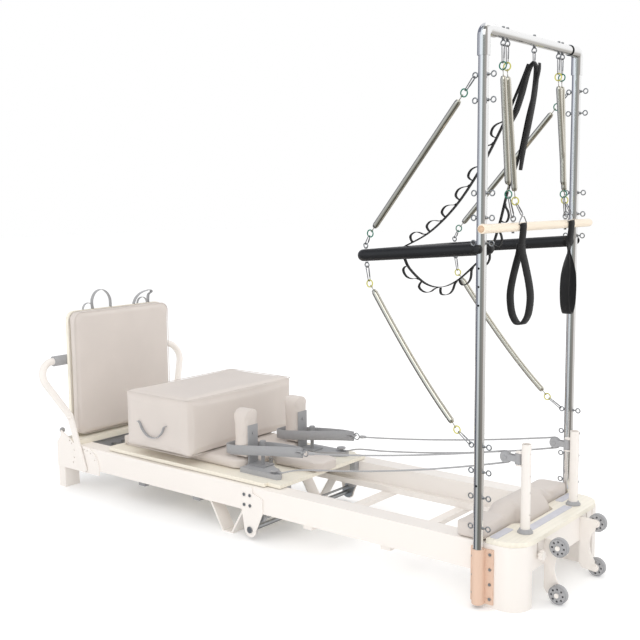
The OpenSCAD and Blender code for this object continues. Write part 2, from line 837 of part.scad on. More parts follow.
// A coil spring between two rings, each with its snap hook on to an eye
module sprung(eye_a, a, b, eye_b, d) {
  v = unit(b - a);
  wire = eye_d / 2 - eye_wire;
  for (p = [[eye_a, a], [eye_b, b]]) {
    u = unit(p[1] - p[0]);
    ring(p[1], ring_r, ring_wire, [90, 0, 0]);
    link(p[0] + u * (wire - link_seat), p[1] - u * (ring_r - 2 - link_seat), 15, link_d);
  }
  rod(a + v * ring_r, b - v * ring_r, 3);
  rod(a + v * (ring_r + 24), b - v * (ring_r + 24), d);
}

module ptb_springs() {
  t = [x_tower, 0, 0];
  color(grey) both() {
    sprung(ptb_at(ptb_eye_x, ptb_eye), t + [-480, ptb_y, ptb_z + 52], t + [-78, 356, eyebolt_z[8] - 53],
      t + [-31, tower_y, eyebolt_z[8]], 17);
    sprung(ptb_at(ptb_eye_x, -ptb_eye), t + [-484, ptb_y, ptb_z - 136], t + [-92, 356, eyebolt_z[3] + 49],
      t + [-31, tower_y, eyebolt_z[3]], 17);
  }
}

// ---------- centre strap ----------
function strap_round(a) = [-ptb_len * cos(ptb_droop) + strap_r * cos(a),
  ptb_z - ptb_len * sin(ptb_droop) + strap_r * sin(a)];
function hang(k) = ptb_z + k * (strap_top - ptb_z);
strap_r = ptb_d / 2 + 2.3;
strap_wrap = [for (a = [117, 132, 147, 162, 177, 192, 207]) strap_round(a)];
strap_path = concat(
  smooth([[-22, strap_top], [-60, hang(0.866)], [-131, hang(0.642)], [-221, hang(0.408)], [-319, hang(0.212)],
    [-431, hang(0.061)], strap_wrap[0]], 2),
  [for (i = [1:5]) strap_wrap[i]],
  smooth([strap_wrap[6], [-528, ptb_z - 104], [-453, ptb_z - 162], [-379, ptb_z - 174], [-303, ptb_z - 143],
    [-217, ptb_z - 71], [-165, ptb_z - 24], [-130, hang(0.103)], [-95, hang(0.307)], [-56, hang(0.477)],
    [-20, hang(0.726)], [18, hang(0.935)], [22, strap_top]], 2));
module centre_strap() {
  color(black) {
    sweep([for (p = strap_path) [x_tower + p[0], 0, p[1]]], flat_section(3, 26), [0, 1, 0]);
    translate([x_tower, 0, strap_top]) linear_extrude(3) square([47, 26], center = true);
    link([x_tower, 0, top_eye_z - eye_d / 2 + eye_wire + link_seat], [x_tower, 0, strap_top - 6], 15, link_d);
  }
}

// ---------- roll-down bar ----------
module roll_springs() {
  for (s = [-1, 1], k = [0, 1])
    color(grey) sprung([x_tower, s * top_eye_y[k], top_eye_z], [x_tower, s * top_eye_y[k], ring_z],
      [bar_x - 4, s * bar_eye_y[k], roll_z + 109], [bar_x, s * bar_eye_y[k], bar_eye_z], k == (s < 0 ? 1 : 0) ? 19 : 13);
}

module roll_down_bar() {
  color("#e6cfa6") rod_y(bar_x, roll_z, -roll_len / 2, roll_len / 2, roll_d);
  color(steel) for (s = [-1, 1], y = bar_eye_y) {
    translate([bar_x, s * y, roll_z + roll_d / 2 - 0.4]) cylinder(d = stem_d, h = 6);
    eye(bar_x, s * y, bar_eye_z);
  }
}

function loop_path(y, turn) = [for (p = smooth([[-3, roll_z - 36], [-4, roll_z - 56], [-26, roll_z - 110],
    [-44, roll_z - 190], [-46, roll_z - 250], [-28, roll_z - loop_drop + 26], [0, roll_z - loop_drop + 4],
    [28, roll_z - loop_drop + 26], [46, roll_z - 250], [44, roll_z - 190], [26, roll_z - 110],
    [4, roll_z - 56], [3, roll_z - 36]], 2))
  [bar_x + p[0] * cos(turn), y + p[0] * sin(turn), p[1]]];

module hand_loops() {
  for (s = [-1, 1]) {
    turn = s < 0 ? 10 : 115;
    color(black) sweep(loop_path(s * loop_y, turn), flat_section(4, webbing_w), [-sin(turn), cos(turn), 0]);
    color(steel) ring([bar_x, s * loop_y, roll_z - roll_d / 2 - ring_r - 2.1], ring_r, 3.5, [90, 0, turn]);
  }
}

// ---------- footbar ----------
module footbar_frame() {
  translate([x_footbar, 0, footbar_z]) rotate([0, -footbar_lean, 0]) rotate([90, 0, 90]) children();
}

bend_r = 75;
bend = [footbar_wide - bend_r, footbar_len - bend_r];
arm_end = [353, footbar_arm - 7];
reach = norm(bend - arm_end);
out = atan2(bend[0] - arm_end[0], bend[1] - arm_end[1]) + asin(bend_r / reach);
straight = sqrt(reach * reach - bend_r * bend_r);

module footbar_tube() {
  color(grey) {
    footbar_frame() both2() {
      translate([349, 0, 0]) rotate([0, 90, 0]) cylinder(d = 40, h = 8);
      translate([349, 0, -20]) cube([8, footbar_arm, 40]);
      translate([arm_end[0], arm_end[1], 0]) rotate([-90, 0, -out]) cylinder(d = footbar_d, h = straight);
      translate([arm_end[0], arm_end[1] - 10, 0]) rotate([-90, 0, 0]) cylinder(d = footbar_d, h = 10);
      translate([arm_end[0], arm_end[1], 0]) sphere(d = footbar_d);
      translate(concat(bend, 0)) rotate([0, 0, -out]) rotate_extrude(angle = 90 + out)
        translate([bend_r, 0]) circle(d = footbar_d);
    }
    footbar_frame() translate([-bend[0], footbar_len, 0]) rotate([0, 90, 0]) cylinder(d = footbar_d, h = 2 * bend[0]);
    rod_y(x_footbar, footbar_z, -355, 355, 22);
  }
}
module both2() {
  children();
  mirror([1, 0, 0]) children();
}

module footbar_grip() {
  l = bend[0] - 6;
  color(black) footbar_frame() translate([-l, footbar_len, 0]) rotate([0, 90, 0]) difference() {
    cylinder(d = footbar_grip_d, h = 2 * l);
    translate([0, 0, -1]) cylinder(d = footbar_d, h = 2 * l + 2);
  }
}

// ---------- jump board ----------
module jump_board_panel() {
  color(maple) {
    translate([jump_x - jump_pad - jump_wood, 0, 0]) rotate([90, 0, 90]) linear_extrude(jump_wood)
      translate([0, (jump_top + plank_top + 0.5) / 2]) rounded(jump_w, jump_top - plank_top - 0.5, 45);
    both() block(jump_x - jump_pad - jump_wood, jump_x - jump_pad, 180, 240, rail_top + 5, plank_top + 30);
  }
  color(black) both() translate([jump_x - jump_pad - jump_wood / 2, 177, jump_top - 1]) rotate([90, 0, 90])
    difference() {
      cylinder(r = 34, h = 12, center = true);
      cylinder(r = 31, h = 20, center = true);
      translate([-50, -100, -20]) cube([100, 100, 40]);
    }
}

module jump_board_pad() {
  z0 = plank_top + 9;
  color(vinyl) translate([jump_x - jump_pad, 0, 0]) rotate([90, 0, 90]) linear_extrude(jump_pad)
    translate([0, (jump_top + z0) / 2]) rounded(jump_w, jump_top - z0, 45);
}

// ---------- carriage ----------
module carriage_board() {
  x0 = x_fold - carriage_foot;
  x1 = x_fold + carriage_head;
  w = carriage_w / 2;
  color(maple) translate([0, 0, board_z]) linear_extrude(carriage_t) {
    translate([x0, -w + 20]) square([x1 - x0, 2 * w - 40]);
    translate([x0 + 20, -w]) square([x1 - x0 - 90, 2 * w]);
    for (s = [-1, 1]) translate([x0 + 20, s * (w - 20)]) circle(20);
  }
}

module carriage_pad() {
  x0 = x_fold - carriage_foot + 15;
  w = pad_w / 2;
  color(vinyl) translate([0, 0, board_top]) linear_extrude(pad_t) {
    translate([x0 + 20, -w]) square([pad_head - x0 - 20 - 60, 2 * w]);
    translate([x0, -w + 20]) square([pad_head - x0 - 20, 2 * w - 40]);
    translate([x0, -w + 60]) square([pad_head - x0, 2 * w - 120]);
    for (s = [-1, 1]) {
      translate([x0 + 20, s * (w - 20)]) circle(20);
      translate([pad_head - 60, s * (w - 60)]) circle(60);
    }
  }
}

module headrest() {
  l = 290;
  color(vinyl) difference() {
    translate([headrest_x + l / 2, 0, board_top + clear]) linear_extrude(pad_t) rounded(l, headrest_w, 40);
    block(headrest_x - 1, headrest_x + 30, -far, far, 0, board_top + 12);
  }
  color(black) rod_y(headrest_x + 14, board_top + pad_t / 2, -headrest_w / 2 - 8, headrest_w / 2 + 8, 8);
}

module carriage_trucks() {
  color(black) {
    both() for (x = [x_fold - wheel_foot, x_fold - wheel_head]) {
      block(x - 26, x + 26, wheel_y - 17, wheel_y - 12, wheel_z - 14, board_z);
      block(x - 26, x + 26, wheel_y - 50, wheel_y - 12, board_z - 6, board_z);
      rod_y(x, wheel_z, wheel_y - 17, wheel_y + 12, 10);
    }
    block(x_fold - wheel_foot - 20, x_fold - wheel_foot - 8, -165, 165, spring_z - 16, board_z);
  }
}

module carriage_wheels(x) {
  color(grey) both() translate([x, wheel_y, wheel_z]) rotate([90, 0, 0]) difference() {
    cylinder(d = wheel_d, h = 18, center = true);
    cylinder(r = 5 + run, h = 30, center = true);
  }
}
module foot_carriage_wheels() { carriage_wheels(x_fold - wheel_foot); }
module head_carriage_wheels() { carriage_wheels(x_fold - wheel_head); }

module carriage_fittings() {
  color(black) both() {
    difference() {
      translate([0, 0, board_top]) linear_extrude(bracket_top - board_top) polygon([
        [rest_x, 122], [rest_x, 252], [rest_x + 60, 253], [x_fold + 70, 253], [x_fold + 82, 236],
        [x_fold + 60, 205], [rest_x + 60, 122]]);
      translate([rest_x + 61, rest_y, 0]) cylinder(r = 8 + run, h = far);
    }
    block(x_fold + 98, x_fold + 127, 224, 252, 186, board_z);
    translate([x_fold + 43, 232, bracket_top]) {
      cylinder(d = 14, h = 10);
      translate([0, 0, 10]) cylinder(d = 40, h = 6);
    }
    difference() {
      block(headrest_x + 4, headrest_x + 24, headrest_w / 2 + 1.5, headrest_w / 2 + 7, board_top, board_top + pad_t / 2 + 9);
      rod_y(headrest_x + 14, board_top + pad_t / 2, 0, far, 8 + 2 * run);
    }
  }
}

module shoulder_pad() {
  h = rest_top - pad_top - 4;
  color(vinyl) translate([rest_x - rest_t, rest_y, pad_top + 4]) rotate([90, 0, 90]) linear_extrude(rest_t) {
    translate([-rest_w / 2, 6]) square([rest_w, h - 42]);
    translate([-rest_w / 2 + 36, 0]) square([rest_w - 72, h]);
    for (s = [-1, 1]) {
      translate([s * (rest_w / 2 - 36), h - 36]) circle(36);
      translate([s * (rest_w / 2 - 6), 6]) circle(6);
    }
    translate([-rest_w / 2 + 6, 0]) square([rest_w - 12, 7]);
  }
}
module left_shoulder_pad() { mirror([0, 1, 0]) shoulder_pad(); }
module right_shoulder_pad() { shoulder_pad(); }

module shoulder_plate() {
  z0 = bracket_top + clear;
  color(black) {
    block(rest_x, rest_x + rest_plate, rest_y - 30, rest_y + 30, z0, rest_plate_top);
    block(rest_x, rest_x + 96, rest_y - 36, rest_y + 36, z0, z0 + rest_plate);
    translate([rest_x + 61, rest_y, z0 - 16]) cylinder(r = 8, h = 18);
    translate([rest_x + 61, rest_y, z0]) cylinder(d = 16, h = 86);
    translate([rest_x + 61, rest_y, z0 + 86]) cylinder(d = 26, h = 24);
    for (z = [340, 410]) rod_x(rest_y, z, rest_x + rest_plate, rest_x + rest_plate + 4, 14);
  }
}
module left_shoulder_plate() { mirror([0, 1, 0]) shoulder_plate(); }
module right_shoulder_plate() { shoulder_plate(); }

// ---------- hand straps and ropes ----------
ring_x = x_fold + 165;
ring_y = 180;
strap_z = 330;
strap_loop = [[ring_x, 2, 366], [x_fold + 90, 20, 362], [x_fold - 30, 38, 350], [x_fold - 150, 45.2, 336],
  [x_fold - 210, 45.2, strap_z], [x_fold - 238, 42, strap_z], [x_fold - 256, 30, strap_z - 2], [x_fold - 258, 0, strap_z - 2],
  [x_fold - 256, -30, strap_z - 2], [x_fold - 238, -42, strap_z], [x_fold - 210, -45.2, strap_z], [x_fold - 150, -45.2, 336],
  [x_fold - 30, -38, 350], [x_fold + 90, -20, 362], [ring_x, -2, 366]];

module hand_straps() {
  color(grey) both() {
    sweep([for (p = smooth(strap_loop, 2)) [p[0], rest_y + p[1] + (p[0] > x_fold ? 10 * (p[0] - x_fold) / 165 : 0), p[2]]],
      flat_section(2.5, 44), [0, 0, 1]);
    ring([ring_x + 17, ring_y, 368], 15, 5, [90, 0, 0]);
  }
}

rope_r = sheave_d / 2 - 1 - 5.2 + rope_d / 2 + 2.1;
knot = [ring_x + 17 + 17.5 + clear, 368];
cleat = [x_fold + 297, 316];
function touch(p, hub, s) =
  let (v = hub - p, l = norm(v), a = atan2(v[1], v[0]) + s * asin(rope_r / l))
  p + sqrt(l * l - rope_r * rope_r) * [cos(a), sin(a)];
function rope_path(lift) =
  let (
    hub = [x_pulley, pulley_z + lift],
    top = touch(knot, hub, 1) - hub,
    low = touch(cleat, hub, -1) - hub,
    top_a = atan2(top[1], top[0]),
    low_a = atan2(low[1], low[0]))
  concat(
    [[knot[0], ring_y, knot[1]]],
    [for (i = [0:8]) let (a = top_a + (low_a - top_a) * i / 8)
      [hub[0] + rope_r * cos(a), riser_y, hub[1] + rope_r * sin(a)]],
    [[cleat[0], 196, cleat[1]], [x_fold + 170, 214, 300], [x_fold + 90, 226.5, bracket_top + 5.5],
      [x_fold + 51, 232, bracket_top + 4.5]]);

module pull_ropes() {
  color(grey) {
    sweep(rope_path(right_raise), round_section(rope_d), [0, 1, 0]);
    mirror([0, 1, 0]) sweep(rope_path(left_raise), round_section(rope_d), [0, 1, 0]);
  }
}

// ---------- sitting box ----------
module sitting_box() {
  color(vinyl) translate([x_fold - box_x, 0, pad_top + clear]) linear_extrude(box_h) rounded(box_w, box_len, 14);
  color(black) both() translate([x_fold - box_x, box_len / 2, pad_top + clear + box_grommet])
    for (s = [-1, 1]) rod_y(s * 84, 0, -1, 3, 22);
}

foot_rails();
foot_posts();
foot_cross_members();
footbar_plates();
foot_platform();
carriage_springs();
middle_legs();
foot_hinge_plates();
fold_axle();
head_rails();
head_columns();
head_hinge_plates();
fold_knobs();
head_end_beam();
standing_platform();
grip_strips();
platform_cushion();
riser_collars();
tower_clamps();
clamp_bolts();
tower_posts();
tower_elbows();
tower_top_bar();
left_eyebolts();
right_eyebolts();
transport_brackets();
pull_ropes();
ptb_springs();
centre_strap();
carriage_board();
carriage_pad();
carriage_trucks();
carriage_fittings();
hand_straps();
headrest();
left_shoulder_pad();
left_shoulder_plate();
right_shoulder_pad();
right_shoulder_plate();
footbar_tube();
footbar_grip();
jump_board_panel();
jump_board_pad();
sitting_box();
foot_carriage_wheels();
head_carriage_wheels();
upper_transport_wheels();
lower_transport_wheels();
left_pulley_block();
left_sheave();
right_pulley_block();
right_sheave();
left_riser();
right_riser();
pull_knob();
push_through_bar();
roll_springs();
roll_down_bar();
hand_loops();
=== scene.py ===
import json
import math

import bmesh
import bpy
import numpy as np
from mathutils import Matrix, Vector


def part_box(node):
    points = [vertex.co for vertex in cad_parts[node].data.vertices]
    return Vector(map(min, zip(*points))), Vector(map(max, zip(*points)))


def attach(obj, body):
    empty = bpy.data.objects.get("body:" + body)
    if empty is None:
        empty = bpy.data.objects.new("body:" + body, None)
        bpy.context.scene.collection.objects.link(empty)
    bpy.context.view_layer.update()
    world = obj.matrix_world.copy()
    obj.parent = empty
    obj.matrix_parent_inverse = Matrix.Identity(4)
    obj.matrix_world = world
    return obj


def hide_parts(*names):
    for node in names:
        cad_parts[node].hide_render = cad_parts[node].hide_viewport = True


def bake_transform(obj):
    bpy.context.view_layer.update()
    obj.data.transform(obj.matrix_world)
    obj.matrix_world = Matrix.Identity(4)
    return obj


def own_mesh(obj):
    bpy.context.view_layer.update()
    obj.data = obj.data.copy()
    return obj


# The looks of a folding pilates reformer with its tower. Metres, Z up, +X towards the tower.
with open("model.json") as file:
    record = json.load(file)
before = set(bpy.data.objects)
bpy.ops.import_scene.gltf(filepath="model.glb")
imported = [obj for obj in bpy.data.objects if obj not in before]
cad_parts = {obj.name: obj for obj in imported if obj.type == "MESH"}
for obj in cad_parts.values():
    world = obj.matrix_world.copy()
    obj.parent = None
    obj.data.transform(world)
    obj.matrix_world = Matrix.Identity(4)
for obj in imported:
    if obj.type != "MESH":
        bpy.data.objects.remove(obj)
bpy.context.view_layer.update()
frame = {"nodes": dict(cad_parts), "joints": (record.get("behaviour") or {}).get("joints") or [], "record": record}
JOINTS = {j["name"]: j for j in frame["joints"]}
SIDES = (-1, 1)   # near (-Y) and far (+Y)
X, Y, Z = Vector((1, 0, 0)), Vector((0, 1, 0)), Vector((0, 0, 1))
FOOT_FRAME, HEAD_FRAME = (next(body for body, nodes in frame["record"]["behaviour"]["bodies"].items() if node in nodes)
                          for node in ("foot_rails", "head_rails"))


# ---------- places, worked out from the frame ----------
def low(node):
    return Vector(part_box(node)[0])


def high(node):
    return Vector(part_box(node)[1])


def middle(node):
    return (low(node) + high(node)) / 2


def side_name(s):
    return "near" if s < 0 else "far"


# tower
X_TOWER = middle("tower_top_bar").x
TOWER_Y = 0.360
TOP_BAR_Z = middle("tower_top_bar").z
TOP_EYE_Z = TOP_BAR_Z - 0.0315    # eyes under the top bar
RING_Z = TOP_EYE_Z - 0.0745       # the coated rings that hang from them
STRAP_TOP = TOP_EYE_Z - 0.0445    # top fold of the centre strap
TOP_EYES = (0.199, 0.229)         # along Y: inner and outer
EYEBOLT_HEIGHTS = (0.290, 0.398, 0.489, 0.579, 1.274, 1.358, 1.440, 1.743, 1.825)
POST_EYE_IN = -0.031              # from a post's axis along X: the eye on the carriage's side
POST_EYE_OUT = 0.038              # and the eye on the far end's side
BLACK_RING_Y = 0.292

# push-through bar, in its own frame: x runs along its arms from the pivot
PTB_PIVOT = Vector(JOINTS["push_bar_swing"]["pos_m"])
PTB_DROOP = math.radians(4.2)
PTB_LEN = 0.534
PTB_D = 0.044
PTB_Y = 0.317
PTB_R = 0.026
PTB_EYE_X = -PTB_LEN + PTB_R
PTB_EYE_Z = 0.036

# roll-down bar, by side: where along Y its loops hang and its eyebolts stand. The rings at the lower ends of
# its springs go by (side, outer)
BAR_X = middle("roll_down_bar").x
BAR_Z = low("roll_down_bar").z + 0.016   # the bar is 32 mm thick, and its eyes stand higher
BAR_EYE_LIFT = 0.029
LOOP_FRONT = 0.0195
LOOP_Y = {-1: -0.169, 1: 0.222}
BAR_EYE_Y = {-1: -0.203, 1: 0.213}
RING_Y = {(-1, 1): -0.233, (-1, 0): -0.183, (1, 1): 0.201, (1, 0): 0.213}

# reformer
FOLD_X = middle("fold_axle").x
PULLEYS = {s: Vector(JOINTS[n + "_sheave_spin"]["pos_m"]) for s, n in ((-1, "left"), (1, "right"))}
SHEAVE_D = high("left_sheave").z - low("left_sheave").z
REST_Y = 0.170
STRAP_RING = Vector((FOLD_X + 0.182, 0.180, 0.368))   # centre of the far hand strap's ring
ROPE_R = 0.0034
BOARD_TOP = high("jump_board_pad").z


# ---------- materials ----------
def ramp(nodes, stops):
    r = nodes.new("ShaderNodeValToRGB")
    while len(r.color_ramp.elements) < len(stops):
        r.color_ramp.elements.new(0.5)
    for e, (at, colour) in zip(r.color_ramp.elements, stops):
        e.position = at
        e.color = (*colour, 1)
    return r


def srgb(r, g, b):
    return tuple((c / 255 / 12.92) if c <= 10 else ((c / 255 + 0.055) / 1.055) ** 2.4 for c in (r, g, b))


def shade(colour, k):
    return tuple(min(1.0, c * k) for c in colour)


class Look:
    """A node material with a helper for each common detail."""

    def __init__(self, name, colour, rough, metal=0.0, **sockets):
        self.mat = bpy.data.materials.new(name)
        self.mat.use_nodes = True
        self.nodes = self.mat.node_tree.nodes
        self.links = self.mat.node_tree.links
        self.bsdf = self.nodes["Principled BSDF"]
        self.colour = colour
        self.bsdf.inputs["Base Color"].default_value = (*colour, 1)
        self.bsdf.inputs["Roughness"].default_value = rough
        self.bsdf.inputs["Metallic"].default_value = metal
        for key, value in sockets.items():
            self.bsdf.inputs[key.replace("_", " ")].default_value = value
        self.mat.diffuse_color = (*colour, 1)
        self.height = None

    def coords(self, stretch=(1, 1, 1), uv=False):
        tc = self.nodes.new("ShaderNodeTexCoord")
        m = self.nodes.new("ShaderNodeMapping")
        m.inputs["Scale"].default_value = stretch
        self.links.new(tc.outputs["UV" if uv else "Object"], m.inputs["Vector"])
        return m.outputs["Vector"]

    def noise(self, scale, detail=4, rough=0.5):
        n = self.nodes.new("ShaderNodeTexNoise")
        n.inputs["Scale"].default_value = scale
        n.inputs["Detail"].default_value = detail
        n.inputs["Roughness"].default_value = rough
        self.links.new(self.coords(), n.inputs["Vector"])
        return n.outputs[0]

    def mottle(self, scale, dark, light):
        """Colour that varies between two shades of the base."""
        r = ramp(self.nodes, [(0.3, shade(self.colour, dark)), (0.7, shade(self.colour, light))])
        self.links.new(self.noise(scale), r.inputs[0])
        self.links.new(r.outputs[0], self.bsdf.inputs["Base Color"])
        return self

    def rough_range(self, scale, a, b):
        m = self.nodes.new("ShaderNodeMapRange")
        m.inputs["To Min"].default_value = a
        m.inputs["To Max"].default_value = b
        self.links.new(self.noise(scale), m.inputs["Value"])
        self.links.new(m.outputs[0], self.bsdf.inputs["Roughness"])
        return self

    def bump(self, output, strength, distance):
        b = self.nodes.new("ShaderNodeBump")
        b.inputs["Strength"].default_value = strength
        b.inputs["Distance"].default_value = distance
        self.links.new(output, b.inputs["Height"])
        if self.height is not None:
            self.links.new(self.height, b.inputs["Normal"])
        self.height = b.outputs[0]
        self.links.new(self.height, self.bsdf.inputs["Normal"])
        return self

    def grain(self, scale, strength, distance):
        return self.bump(self.noise(scale, 6, 0.6), strength, distance)

    def pebble(self, scale, strength, distance):
        v = self.nodes.new("ShaderNodeTexVoronoi")
        v.inputs["Scale"].default_value = scale
        self.links.new(self.coords(), v.inputs["Vector"])
        return self.bump(v.outputs["Distance"], strength, distance)

    def weave(self, across, along, strength, distance):
        """Woven threads from the piece's own UVs: u across, v along, in metres. The colour is painted shade in the
        dips between threads and painted highlight on their crowns.
        """
        heights = []
        for axis, count in (("X", across), ("Y", along)):
            w = self.nodes.new("ShaderNodeTexWave")
            w.bands_direction = axis
            w.inputs["Scale"].default_value = count
            w.inputs["Distortion"].default_value = 0.6
            w.inputs["Detail"].default_value = 1
            self.links.new(self.coords(uv=True), w.inputs["Vector"])
            heights.append(w.outputs["Fac"])
        m = self.nodes.new("ShaderNodeMath")
        m.operation = "MULTIPLY"
        self.links.new(heights[0], m.inputs[0])
        self.links.new(heights[1], m.inputs[1])
        # painted shade in the dips between threads and painted highlight on their crowns, from the same heights as the
        # bump
        r = ramp(self.nodes, [(0.0, shade(self.colour, 0.72)), (0.6, shade(self.colour, 1.12))])
        self.links.new(m.outputs[0], r.inputs[0])
        self.links.new(r.outputs[0], self.bsdf.inputs["Base Color"])
        return self.bump(m.outputs[0], strength, distance)

    def wood(self, stretch, scale, light, dark):
        """Long grain: stretched noise drives rings of colour and a faint bump."""
        w = self.nodes.new("ShaderNodeTexWave")
        w.bands_direction = "Y" if stretch[0] < stretch[1] else "X"
        w.inputs["Scale"].default_value = scale
        w.inputs["Distortion"].default_value = 7
        w.inputs["Detail"].default_value = 3
        w.inputs["Detail Scale"].default_value = 1.2
        self.links.new(self.coords(stretch), w.inputs["Vector"])
        r = ramp(self.nodes, [(0.0, shade(self.colour, dark)), (0.55, self.colour), (1.0, shade(self.colour, light))])
        self.links.new(w.outputs["Fac"], r.inputs[0])
        self.links.new(r.outputs[0], self.bsdf.inputs["Base Color"])
        return self.bump(w.outputs["Fac"], 0.12, 0.0004)

    def two_tone(self, height, colour):
        """Another colour above a height in the object's own coordinates."""
        part = self.nodes.new("ShaderNodeSeparateXYZ")
        above = self.nodes.new("ShaderNodeMath")
        above.operation = "GREATER_THAN"
        above.inputs[1].default_value = height
        tone = self.nodes.new("ShaderNodeMix")
        tone.data_type = "RGBA"
        tone.inputs[7].default_value = (*colour, 1)   # sockets 6 and 7 are the colours A and B
        base = self.bsdf.inputs["Base Color"]
        self.links.new(self.nodes.new("ShaderNodeTexCoord").outputs["Object"], part.inputs[0])
        self.links.new(part.outputs["Z"], above.inputs[0])
        self.links.new(above.outputs[0], tone.inputs["Factor"])
        self.links.new(base.links[0].from_socket, tone.inputs[6])
        self.links.new(tone.outputs[2], base)
        return self


CREAM = srgb(243, 237, 231)
MAPLE = srgb(244, 238, 223)
VINYL = srgb(214, 205, 198)
GREY = srgb(170, 170, 172)
WEBBING = srgb(172, 172, 174)

paint = Look("frame_paint", CREAM, 0.38, Coat_Weight=0.15)
paint = paint.mottle(3, 0.985, 1.01).rough_range(8, 0.32, 0.45).grain(900, 0.05, 0.0003).mat
dark_paint = Look("dark_paint", srgb(158, 158, 160), 0.42).mottle(4, 0.9, 1.1).grain(900, 0.08, 0.0003).mat
tan_paint = Look("clamp_paint", srgb(226, 194, 172), 0.42).mottle(5, 0.95, 1.03).grain(900, 0.08, 0.0003).mat
maple, maple_x = (Look(name, MAPLE, 0.34, Coat_Weight=0.3, Coat_Roughness=0.2).wood(stretch, 2.2, 1.015, 0.975).mat
                  for name, stretch in (("pale_wood", (7, 0.55, 7)), ("pale_wood_long", (0.55, 7, 7))))
bar_wood = Look("bar_wood", srgb(250, 235, 214), 0.36, Coat_Weight=0.25).wood((9, 0.7, 9), 3, 1.02, 0.95).mat
end_grain = Look("end_grain", srgb(216, 184, 152), 0.6).mottle(160, 0.9, 1.08).grain(300, 0.2, 0.0005).mat
hook_steel = Look("hook_steel", srgb(176, 176, 178), 0.2, 1.0).rough_range(30, 0.15, 0.3).grain(300, 0.04, 0.0002).mat
vinyl = Look("vinyl", VINYL, 0.48, Sheen_Weight=0.15)
vinyl = vinyl.mottle(6, 0.975, 1.02).pebble(900, 0.12, 0.0006).grain(40, 0.05, 0.002).mat
piping = Look("vinyl_piping", shade(VINYL, 0.93), 0.5).grain(600, 0.1, 0.0005).mottle(30, 0.95, 1.05).mat
grey_plastic = Look("grey_plastic", GREY, 0.45).mottle(8, 0.95, 1.04).grain(700, 0.08, 0.0003).mat
grey_rubber = Look("grey_rubber", srgb(168, 168, 170), 0.62).mottle(20, 0.93, 1.05).grain(500, 0.18, 0.0006).mat
lilac_rubber = Look("grip_rubber", srgb(208, 208, 216), 0.7).mottle(30, 0.95, 1.04).pebble(700, 0.3, 0.0008).mat
black_plastic = Look("black_plastic", srgb(30, 30, 32), 0.38).mottle(10, 0.85, 1.15).grain(700, 0.1, 0.0003).mat
knob_plastic = Look("knob_plastic", srgb(160, 160, 162), 0.4).mottle(10, 0.94, 1.05).grain(700, 0.1, 0.0003).mat
black_foam = Look("black_foam", srgb(20, 20, 23), 0.4, Sheen_Weight=0.08)
black_foam = black_foam.mottle(9, 0.85, 1.2).pebble(500, 0.12, 0.0005).mat
chrome = Look("chrome", srgb(244, 244, 244), 0.1, 1.0).rough_range(14, 0.07, 0.16).grain(60, 0.01, 0.0006).mat
steel = Look("steel", srgb(176, 178, 181), 0.3, 1.0).rough_range(30, 0.22, 0.4).grain(300, 0.06, 0.0003).mat
spring_steel = Look("spring_steel", srgb(220, 216, 204), 0.2, 1.0)
spring_steel = spring_steel.rough_range(30, 0.16, 0.24).mottle(40, 0.97, 1.02).mat
grey_webbing = Look("grey_webbing", WEBBING, 0.8, Sheen_Weight=0.3).weave(160, 90, 0.5, 0.0006).mat
# the panel's own short loops stand above its top edge
board_maple = Look("board_maple", MAPLE, 0.5).wood((2, 9, 2), 5, 1.03, 0.94).two_tone(BOARD_TOP + 0.0003, WEBBING).mat
black_webbing = Look("black_webbing", srgb(24, 24, 26), 0.75, Sheen_Weight=0.12).weave(160, 90, 0.5, 0.0006).mat
rope = Look("rope", srgb(182, 182, 184), 0.75, Sheen_Weight=0.3).weave(60, 70, 0.6, 0.0008).mat
green = Look("green_coat", srgb(36, 118, 96), 0.35, Coat_Weight=0.3).mottle(60, 0.85, 1.15).mat
yellow = Look("yellow_coat", srgb(206, 200, 92), 0.35, Coat_Weight=0.3).mottle(60, 0.88, 1.1).mat

CAD_LOOKS = {
    paint: ["foot_rails", "foot_posts", "footbar_plates", "middle_legs", "foot_hinge_plates", "head_rails",
            "head_columns", "head_end_beam", "transport_brackets", "footbar_tube", "left_riser", "right_riser"],
    maple: ["foot_platform", "standing_platform"],
    board_maple: ["jump_board_panel"],
    maple_x: ["carriage_board"],
    vinyl: ["carriage_pad", "headrest", "left_shoulder_pad", "right_shoulder_pad", "platform_cushion",
            "jump_board_pad", "sitting_box"],
    dark_paint: ["foot_cross_members", "carriage_trucks", "left_shoulder_plate", "right_shoulder_plate"],
    tan_paint: ["tower_clamps"],
    steel: ["fold_axle", "head_hinge_plates", "clamp_bolts", "left_eyebolts", "right_eyebolts", "carriage_springs"],
    chrome: ["tower_posts", "tower_elbows", "tower_top_bar"],
    grey_plastic: ["riser_collars", "carriage_fittings", "foot_carriage_wheels", "head_carriage_wheels",
                   "left_pulley_block", "right_pulley_block", "left_sheave", "right_sheave"],
    grey_rubber: ["upper_transport_wheels", "lower_transport_wheels", "footbar_grip"],
    lilac_rubber: ["grip_strips"],
    knob_plastic: ["fold_knobs", "pull_knob"],
    black_foam: ["push_through_bar"],
    spring_steel: ["ptb_springs", "roll_springs"],
    bar_wood: ["roll_down_bar"],
    grey_webbing: ["pull_ropes", "hand_straps"],
    black_webbing: ["centre_strap", "hand_loops"],
}
for look, names in CAD_LOOKS.items():
    for name in names:
        data = frame["nodes"][name].data
        data.materials.clear()
        data.materials.append(look)


# ---------- mesh helpers ----------
def add(name, verts, faces, look, smooth=True, uvs=None):
    mesh = bpy.data.meshes.new(name)
    mesh.from_pydata([tuple(v) for v in verts], [], faces)
    mesh.validate()
    mesh.update()
    if uvs is not None:
        layer = mesh.uv_layers.new(name="UVMap")
        for loop in mesh.loops:
            layer.data[loop.index].uv = uvs[loop.vertex_index]
    obj = bpy.data.objects.new(name, mesh)
    bpy.context.scene.collection.objects.link(obj)
    mesh.materials.append(look)
    if smooth:
        mesh.shade_smooth()
    return obj


